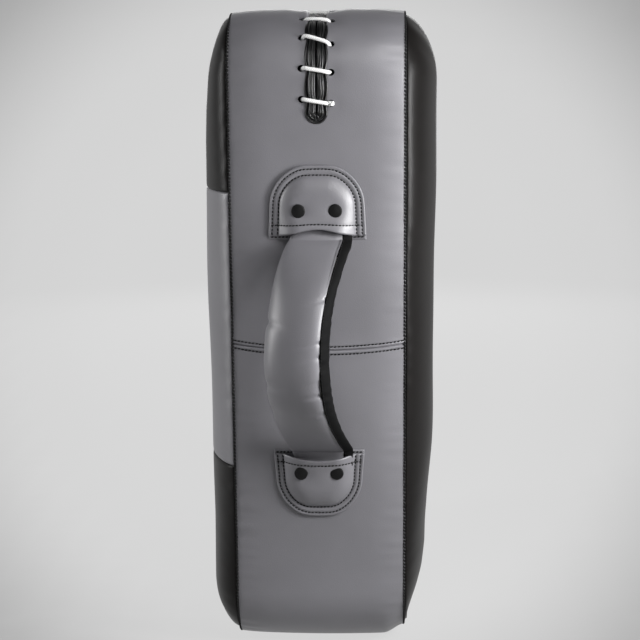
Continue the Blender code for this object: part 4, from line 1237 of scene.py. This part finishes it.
def make_anchors():
    """Two leathers over each sewn end of the handles, with their stitches and rivets."""
    runs = []
    for hand, side in SIDES:
        for level, turn in LEVELS:
            patch = PATCHES[level]
            mouth = patch["mouth"]
            for layer, shape, wall in (("cover", patch_points, COVER_WALL), ("base", base_points, BASE_WALL)):
                mesh = grid_mesh(layer, shape(side, turn, patch))
                made = new_object(f"{hand}_{level}_anchor_{layer}_leather", mesh, FINISH["grey"])
                thicken(outward(made), wall)
                dress(made, "root", "grey_leather", f"{hand}_{level}_anchor_{layer}")
            rows = []
            for row in PATCH_ROWS:
                y, up = patch_ring(row, mouth + 2.2 * MM, patch, 240)
                rows.append((y, up, patch_height(y, up, row, patch) + ROW_LIFT))
            y = np.linspace(-ANCHOR_HALF + 3.4 * MM, ANCHOR_HALF - 3.4 * MM, 60)
            up = hem_line(y, patch)
            rows.append((y, up, patch_height(y, up, ANCHOR_HALF - np.abs(y), patch) + ROW_LIFT))
            rows.append((y, np.full_like(y, mouth - BASE_ROW), 2.35 * MM))
            runs += [(on_patch(side, turn, patch, *row), (side, 0, 0)) for row in rows]
    sew("anchor_stitches", runs, "root", **ANCHOR_ROW)
    make_rivets()


def turned_mesh(name, profile, segments=28):
    """A round shape turned about z from radius and height pairs."""
    angle = np.linspace(0, 2 * math.pi, segments + 1)[:-1]
    rings = [np.stack([r * np.cos(angle), r * np.sin(angle), np.full_like(angle, h)], -1) for r, h in profile]
    return grid_mesh(name, np.array(rings), close_columns=True)


def make_rivets():
    """Black domed rivet caps, two in each patch."""
    profile = ((0.0, -0.6), (5.0, -0.6), (6.0, -0.35), (6.25, 0.1), (6.2, 0.5), (5.8, 0.9), (5.1, 1.15),
               (4.5, 1.2), (4.1, 1.25), (3.3, 1.4), (2.2, 1.6), (1.0, 1.7), (0.0, 1.72))
    cap = turned_mesh("cap", [(r * MM, h * MM) for r, h in profile])
    runs = []
    for _, side in SIDES:
        for level, turn in LEVELS:
            patch = PATCHES[level]
            up = patch["rivets"]
            for y in (-RIVET_Y, RIVET_Y):
                height = float(patch_height(np.array(y + 7 * MM), np.array(up), np.array(30 * MM), patch))
                runs.append((on_side(side, height - 0.1 * MM, y, turn * up)[None, :], (side, 0, 0)))
    places = new_object("rivet_places", path_mesh("rivet_places", runs))
    rivets = new_object("black_rivets", cap)
    run_tree(rivets, TREES["set"], Places=places, Finish=FINISH["rivet"])
    bpy.data.objects.remove(places)
    rivets.data.materials.clear()
    rivets.data.materials.append(FINISH["rivet"])
    rivets.data.shade_smooth()
    nodes = [f"{hand}_{level}_{place}_rivet"
             for hand, _ in SIDES for level, _ in LEVELS for place in ("front", "back")]
    dress(rivets, "root", "black_metal", *nodes)


# Handles


def arch(up):
    return 1 - np.clip(np.abs(up) / ANCHOR_MOUTH, 0, 1) ** 2.2


def grip_half_sizes(up):
    share = arch(up)
    tail = smoothstep((np.abs(up) - ANCHOR_MOUTH + 6 * MM) / (16 * MM))
    width = GRIP_HALF_WIDTH + 0.8 * MM * share - 2.5 * MM * tail
    depth = GRIP_END_DEPTH + GRIP_GROWTH * share**0.8 - 2.1 * MM * tail
    return width, depth


def grip_points(side, up, angle, grow):
    """Points of the handle: up along it, angle round it (90 degrees is outwards), grow off its surface."""
    up, angle, grow = np.broadcast_arrays(up, angle, grow)
    width, depth = grip_half_sizes(up)
    c = np.cos(angle)
    t = np.sin(angle)
    power = 2 / 2.15
    across = (width + grow) * np.sign(c) * np.abs(c) ** power
    out = (depth + grow) * np.sign(t) * np.abs(t) ** power
    tail = smoothstep((np.abs(up) - ANCHOR_MOUTH + 2 * MM) / (12 * MM))
    middle = MOUTH_OUT + (ARCH_OUT - MOUTH_OUT) * arch(up) - 2.2 * MM * tail
    reach = middle - HINGE_OUT + out
    twist = LEAN * np.sin(np.clip((ANCHOR_MOUTH - np.abs(up)) / LEAN_RUN, 0, 1) * math.pi / 2)
    y = across * np.cos(twist) + reach * math.sin(LEAN) + 2.4 * MM * (1 - arch(up))
    away = reach * math.cos(LEAN) - across * np.sin(twist)
    return on_side(side, HINGE_OUT + away, y, up)


def grip_creases(up, angle, seed):
    """Soft kinks where the padding bends, and short wrinkles on the inside of the bend."""
    pick = np.random.default_rng(seed)
    total = np.zeros(np.broadcast(up, angle).shape)
    flank = np.clip(-np.cos(angle), 0, 1)
    inner = bump_curve((angle - math.radians(28)) / math.radians(62))
    for where, deep, wide in KINKS:
        total -= deep * MM * np.exp(-(((up / MM - where) / wide) ** 2)) * flank
    for _ in range(9):
        where = pick.uniform(-58, 52)
        deep = pick.uniform(0.6, 1.3)
        across = (up / MM - where - 6 * np.cos(angle)) / pick.uniform(1.6, 3.2)
        total -= deep * MM * np.exp(-(across**2)) * inner
    place = np.stack(np.broadcast_arrays(up, np.cos(angle) * 28 * MM, np.sin(angle) * 16 * MM), -1)
    total += 0.35 * MM * drift(place, 70 * MM, seed + 1)
    fade = smoothstep((ANCHOR_MOUTH - np.abs(up)) / (10 * MM))
    return total * fade


def swing(made):
    """Bakes the piece's place into its mesh."""
    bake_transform(made)


def make_grip_filling(hand, side):
    """Soft foam inside the handle's cover, and the flat strap inside the foam."""
    turn = np.linspace(0, 2 * math.pi, 33)[:-1][None, :]
    for part, finish, slot, reach, inner, flat in (("foam", "foam", "soft_foam", 84, -3.4, (1.0, 1.0, 1.0)),
                                                  ("strap", "webbing", "webbing", 88, -4.4, (0.12, 0.8, 1.0))):
        up = np.linspace(-reach, reach, 130)[:, None] * MM
        skin = grip_points(side, up, turn, inner * MM + grip_creases(up, turn, COVER_SEED))
        middle = skin.mean(axis=1, keepdims=True)
        skin = grid_mesh(part, middle + (skin - middle) * np.array(flat), close_columns=True, cap=True)
        made = new_object(f"{hand}_grip_{part}_inside", skin, FINISH[finish])
        dress(made, None, slot, f"{hand}_grip_{part}")
        swing(made)


def seam_turn(up):
    """How far the seam inside the bend turns round the grip towards its ends."""
    return COVER_TURN * (1 - arch(up))


def make_grip_cover(hand, side, up):
    """The grey leather, from one seam round the outside of the grip to the other."""
    edge = math.radians(3.2)
    angle = np.concatenate([[COVER_FIRST, COVER_FIRST, COVER_FIRST + edge * 0.3],
                            np.linspace(COVER_FIRST + edge, COVER_LAST - edge, 64),
                            [COVER_LAST - edge * 0.3, COVER_LAST, COVER_LAST]])[None, :]
    grow = np.zeros(angle.shape[1])
    grow[[0, -1]] = -0.6 * MM
    near_edge = np.minimum(angle[0] - COVER_FIRST, COVER_LAST - angle[0])
    grow = grow - EDGE_FALL * (1 - np.clip(near_edge / EDGE_RUN, 0, 1)) ** 2
    wrap = (angle - COVER_FIRST) / (COVER_LAST - COVER_FIRST)
    angle = angle + (1 - wrap) * COVER_TURN * (1 - arch(up))
    points = grip_points(side, up, angle, grow[None, :] + grip_creases(up, angle, COVER_SEED))
    cover = new_object(f"{hand}_grip_leather", grid_mesh("grip", points), FINISH["grey"])
    thicken(outward(cover, grip_middle(side)), GRIP_WALL)
    dress(cover, None, "grey_leather", f"{hand}_grip_cover", f"{hand}_upper_neck", f"{hand}_lower_neck",
          f"{hand}_upper_strap_tab", f"{hand}_lower_strap_tab")
    return cover


def make_grip_underside(hand, side, up):
    """The black strip between the two seams, on the side of the body."""
    wrap = np.linspace(0, 1, 56)[None, :]
    gap = 0.01
    reach = COVER_FIRST - COVER_LAST + 2 * math.pi - 2 * gap + seam_turn(up)
    angle = COVER_LAST - 2 * math.pi + gap + wrap * reach
    wander = 0.25 * ripple(up + 0.3, 6 * MM, 24 * MM, 77) * MM
    rim = np.exp(-((np.minimum(wrap, 1 - wrap) / 0.03) ** 2))
    grow = -UNDER_INSET - 0.2 * MM * rim + wander + 0.4 * grip_creases(up, angle, UNDER_SEED)
    points = grip_points(side, up, angle, grow)
    under = new_object(f"{hand}_grip_underside_fabric", grid_mesh("underside", points), FINISH["neoprene"])
    thicken(outward(under, grip_middle(side)), UNDER_WALL)
    dress(under, None, "black_leather", f"{hand}_grip_underside")
    return under


def make_grip_stitches(hand, side):
    """A row along each seam of the grip."""
    runs = []
    along = np.linspace(-100, 100, 240) * MM
    beside = math.radians(2)
    for at in (COVER_FIRST - beside + seam_turn(along), COVER_LAST + beside):
        lift = 0.4 * grip_creases(along, at, UNDER_SEED) - 0.3 * MM
        points = grip_points(side, along, at, lift)
        out = grip_points(side, along, at, lift + 1 * MM) - points
        runs.append((points, out / np.linalg.norm(out, axis=1)[:, None]))
    return sew(f"{hand}_grip_stitches", runs, None, **GRIP_ROW)


def make_handles():
    up = np.linspace(-113, 113, 250)[:, None] * MM
    for hand, side in SIDES:
        cover = make_grip_cover(hand, side, up)
        under = make_grip_underside(hand, side, up)
        make_grip_filling(hand, side)
        for made in (cover, under, make_grip_stitches(hand, side)):
            swing(made)


def grip_middle(side):
    """The handle's middle line at the height of a place."""
    def middle(place):
        up = np.array(place.z - MID_SEAM_Z)
        edges = [grip_points(side, up, np.array(angle), np.array(0.0)) for angle in (0.0, math.pi)]
        return Vector(sum(edges) / 2)
    return middle


# Studio


def seen_ray(tree, *kinds):
    """1 for the camera's rays and for the other kinds of ray that are named."""
    ray = add(tree, "ShaderNodeLightPath")
    total = ray.outputs["Is Camera Ray"]
    for kind in kinds:
        larger = add(tree, "ShaderNodeMath")
        larger.operation = "MAXIMUM"
        tree.links.new(total, larger.inputs[0])
        join(tree, (ray, kind, larger, 1))
        total = larger.outputs[0]
    return total


def stage_finish():
    """Pale paper that glows at its painted tone for the camera's rays: lighter in the middle, with painted shade
    away from it. It still takes a soft shadow.
    """
    made, tree, surface, _ = shader("studio_paper")
    tree.nodes.remove(surface)
    # The painted tone: the paper's level, with painted shade away from the middle of the view
    tone = add(tree, "ShaderNodeAttribute")
    tone.attribute_name = "tone"
    paper = add(tree, "ShaderNodeBsdfDiffuse", {"Color": PAPER_COLOUR})
    glow = add(tree, "ShaderNodeEmission")
    share = add(tree, "ShaderNodeMath", {1: PAPER_GLOW})
    share.operation = "MULTIPLY"
    tree.links.new(seen_ray(tree, "Is Glossy Ray", "Is Transmission Ray"), share.inputs[0])
    mix = add(tree, "ShaderNodeMixShader")
    join(tree, (tone, "Color", glow, "Color"), (share, 0, mix, "Fac"), (paper, 0, mix, 1), (glow, 0, mix, 2),
         (mix, 0, tree.nodes["Material Output"], "Surface"))
    return made


def make_stage():
    """A sheet of pale paper, flat under the pad and bent up behind it."""
    floor_x = np.linspace(3.0, PAPER_BACK, 95)
    turn = np.linspace(0, math.pi / 2, 14)[1:]
    x = np.concatenate([floor_x, PAPER_BACK - PAPER_BEND * np.sin(turn), np.full(12, PAPER_BACK - PAPER_BEND)])
    z = np.concatenate([np.zeros(95), PAPER_BEND - PAPER_BEND * np.cos(turn), np.linspace(0.7, 3.2, 12)])
    z = z - 0.4 * MM
    y = np.linspace(-4, 4, 161)
    mesh = grid_mesh("sweep", np.stack(np.broadcast_arrays(x[:, None], y[None, :], z[:, None]), -1))
    # Painted shade: the paper's tone is darker the further a point lies from the middle of the camera's view
    place = np.array([v.co for v in mesh.vertices]) - np.array(EYE)
    depth = np.maximum(place @ np.array([-math.cos(PITCH), YAW, -math.sin(PITCH)]), 0.2)
    above = place @ np.array([-math.sin(PITCH), 0.0, math.cos(PITCH)])
    away = np.hypot(place[:, 1] - YAW * depth, above) / depth * FOCAL / (FRAME / 2)
    level = np.interp(away, PAPER_REACH, PAPER_LEVEL_WITH_PAINTED_SHADE)
    tone = np.stack([level, level, level, np.ones_like(level)], -1)
    layer = mesh.attributes.new("tone", "FLOAT_COLOR", "POINT")
    layer.data.foreach_set("color", tone.astype(np.float32).reshape(-1))
    new_object("studio_sweep", mesh, stage_finish())


def make_air():
    """The room's faint fill, and the paler grey that is seen past the paper."""
    world = bpy.data.worlds.new("studio_air")
    bpy.context.scene.world = world
    world.use_nodes = True
    tree = world.node_tree
    fill = tree.nodes["Background"]
    fill.inputs["Color"].default_value = FILL_COLOUR
    fill.inputs["Strength"].default_value = FILL_STRENGTH
    seen = add(tree, "ShaderNodeBackground", {"Color": PAST_PAPER_COLOUR})
    mix = add(tree, "ShaderNodeMixShader")
    tree.links.new(seen_ray(tree, "Is Transmission Ray"), mix.inputs["Fac"])
    join(tree, (fill, 0, mix, 1), (seen, 0, mix, 2), (mix, 0, tree.nodes["World Output"], "Surface"))


def make_lights():
    for name, (place, aim, width, height, power) in LAMPS.items():
        data = bpy.data.lights.new(name, "AREA")
        data.shape = "RECTANGLE"
        data.size = width
        data.size_y = height
        data.energy = power
        made = bpy.data.objects.new(name, data)
        bpy.context.scene.collection.objects.link(made)
        made.location = place
        made.rotation_euler = (Vector(aim) - Vector(place)).to_track_quat("-Z", "Y").to_euler()
        made.visible_camera = False


def make_camera():
    """Stands in front of the right handle, above it, and looks a little down."""
    data = bpy.data.cameras.new("photo_view")
    data.sensor_fit = "HORIZONTAL"
    data.sensor_width = SENSOR
    data.lens = FOCAL / FRAME * SENSOR
    made = bpy.data.objects.new("photo_view", data)
    bpy.context.scene.collection.objects.link(made)
    forward = Vector((-math.cos(PITCH) * math.cos(YAW), math.cos(PITCH) * math.sin(YAW), -math.sin(PITCH)))
    right = forward.cross(Vector((0, 0, 1))).normalized()
    up = right.cross(forward)
    turned_right = right * math.cos(ROLL) + up * math.sin(ROLL)
    turned_up = up * math.cos(ROLL) - right * math.sin(ROLL)
    made.matrix_world = Matrix((
        (turned_right.x, turned_up.x, -forward.x, EYE[0]),
        (turned_right.y, turned_up.y, -forward.y, EYE[1]),
        (turned_right.z, turned_up.z, -forward.z, EYE[2]),
        (0, 0, 0, 1),
    ))
    bpy.context.scene.camera = made


def hidden_finish(name):
    """Finish of a CAD node that stays: a part inside the cover."""
    for word, finish in (("foam", "foam"), ("washer", "steel"), ("tongue", "neoprene")):
        if word in name:
            return finish
    return "webbing"


def main():
    bpy.context.scene.view_settings.view_transform = "Standard"
    make_body()
    make_foam_blocks()
    make_body_stitches()
    make_closure()
    make_anchors()
    make_handles()
    make_stage()
    make_air()
    make_lights()
    make_camera()
    for name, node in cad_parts.items():
        if not node.hide_render:
            node.data.materials.clear()
            node.data.materials.append(FINISH[hidden_finish(name)])


main()
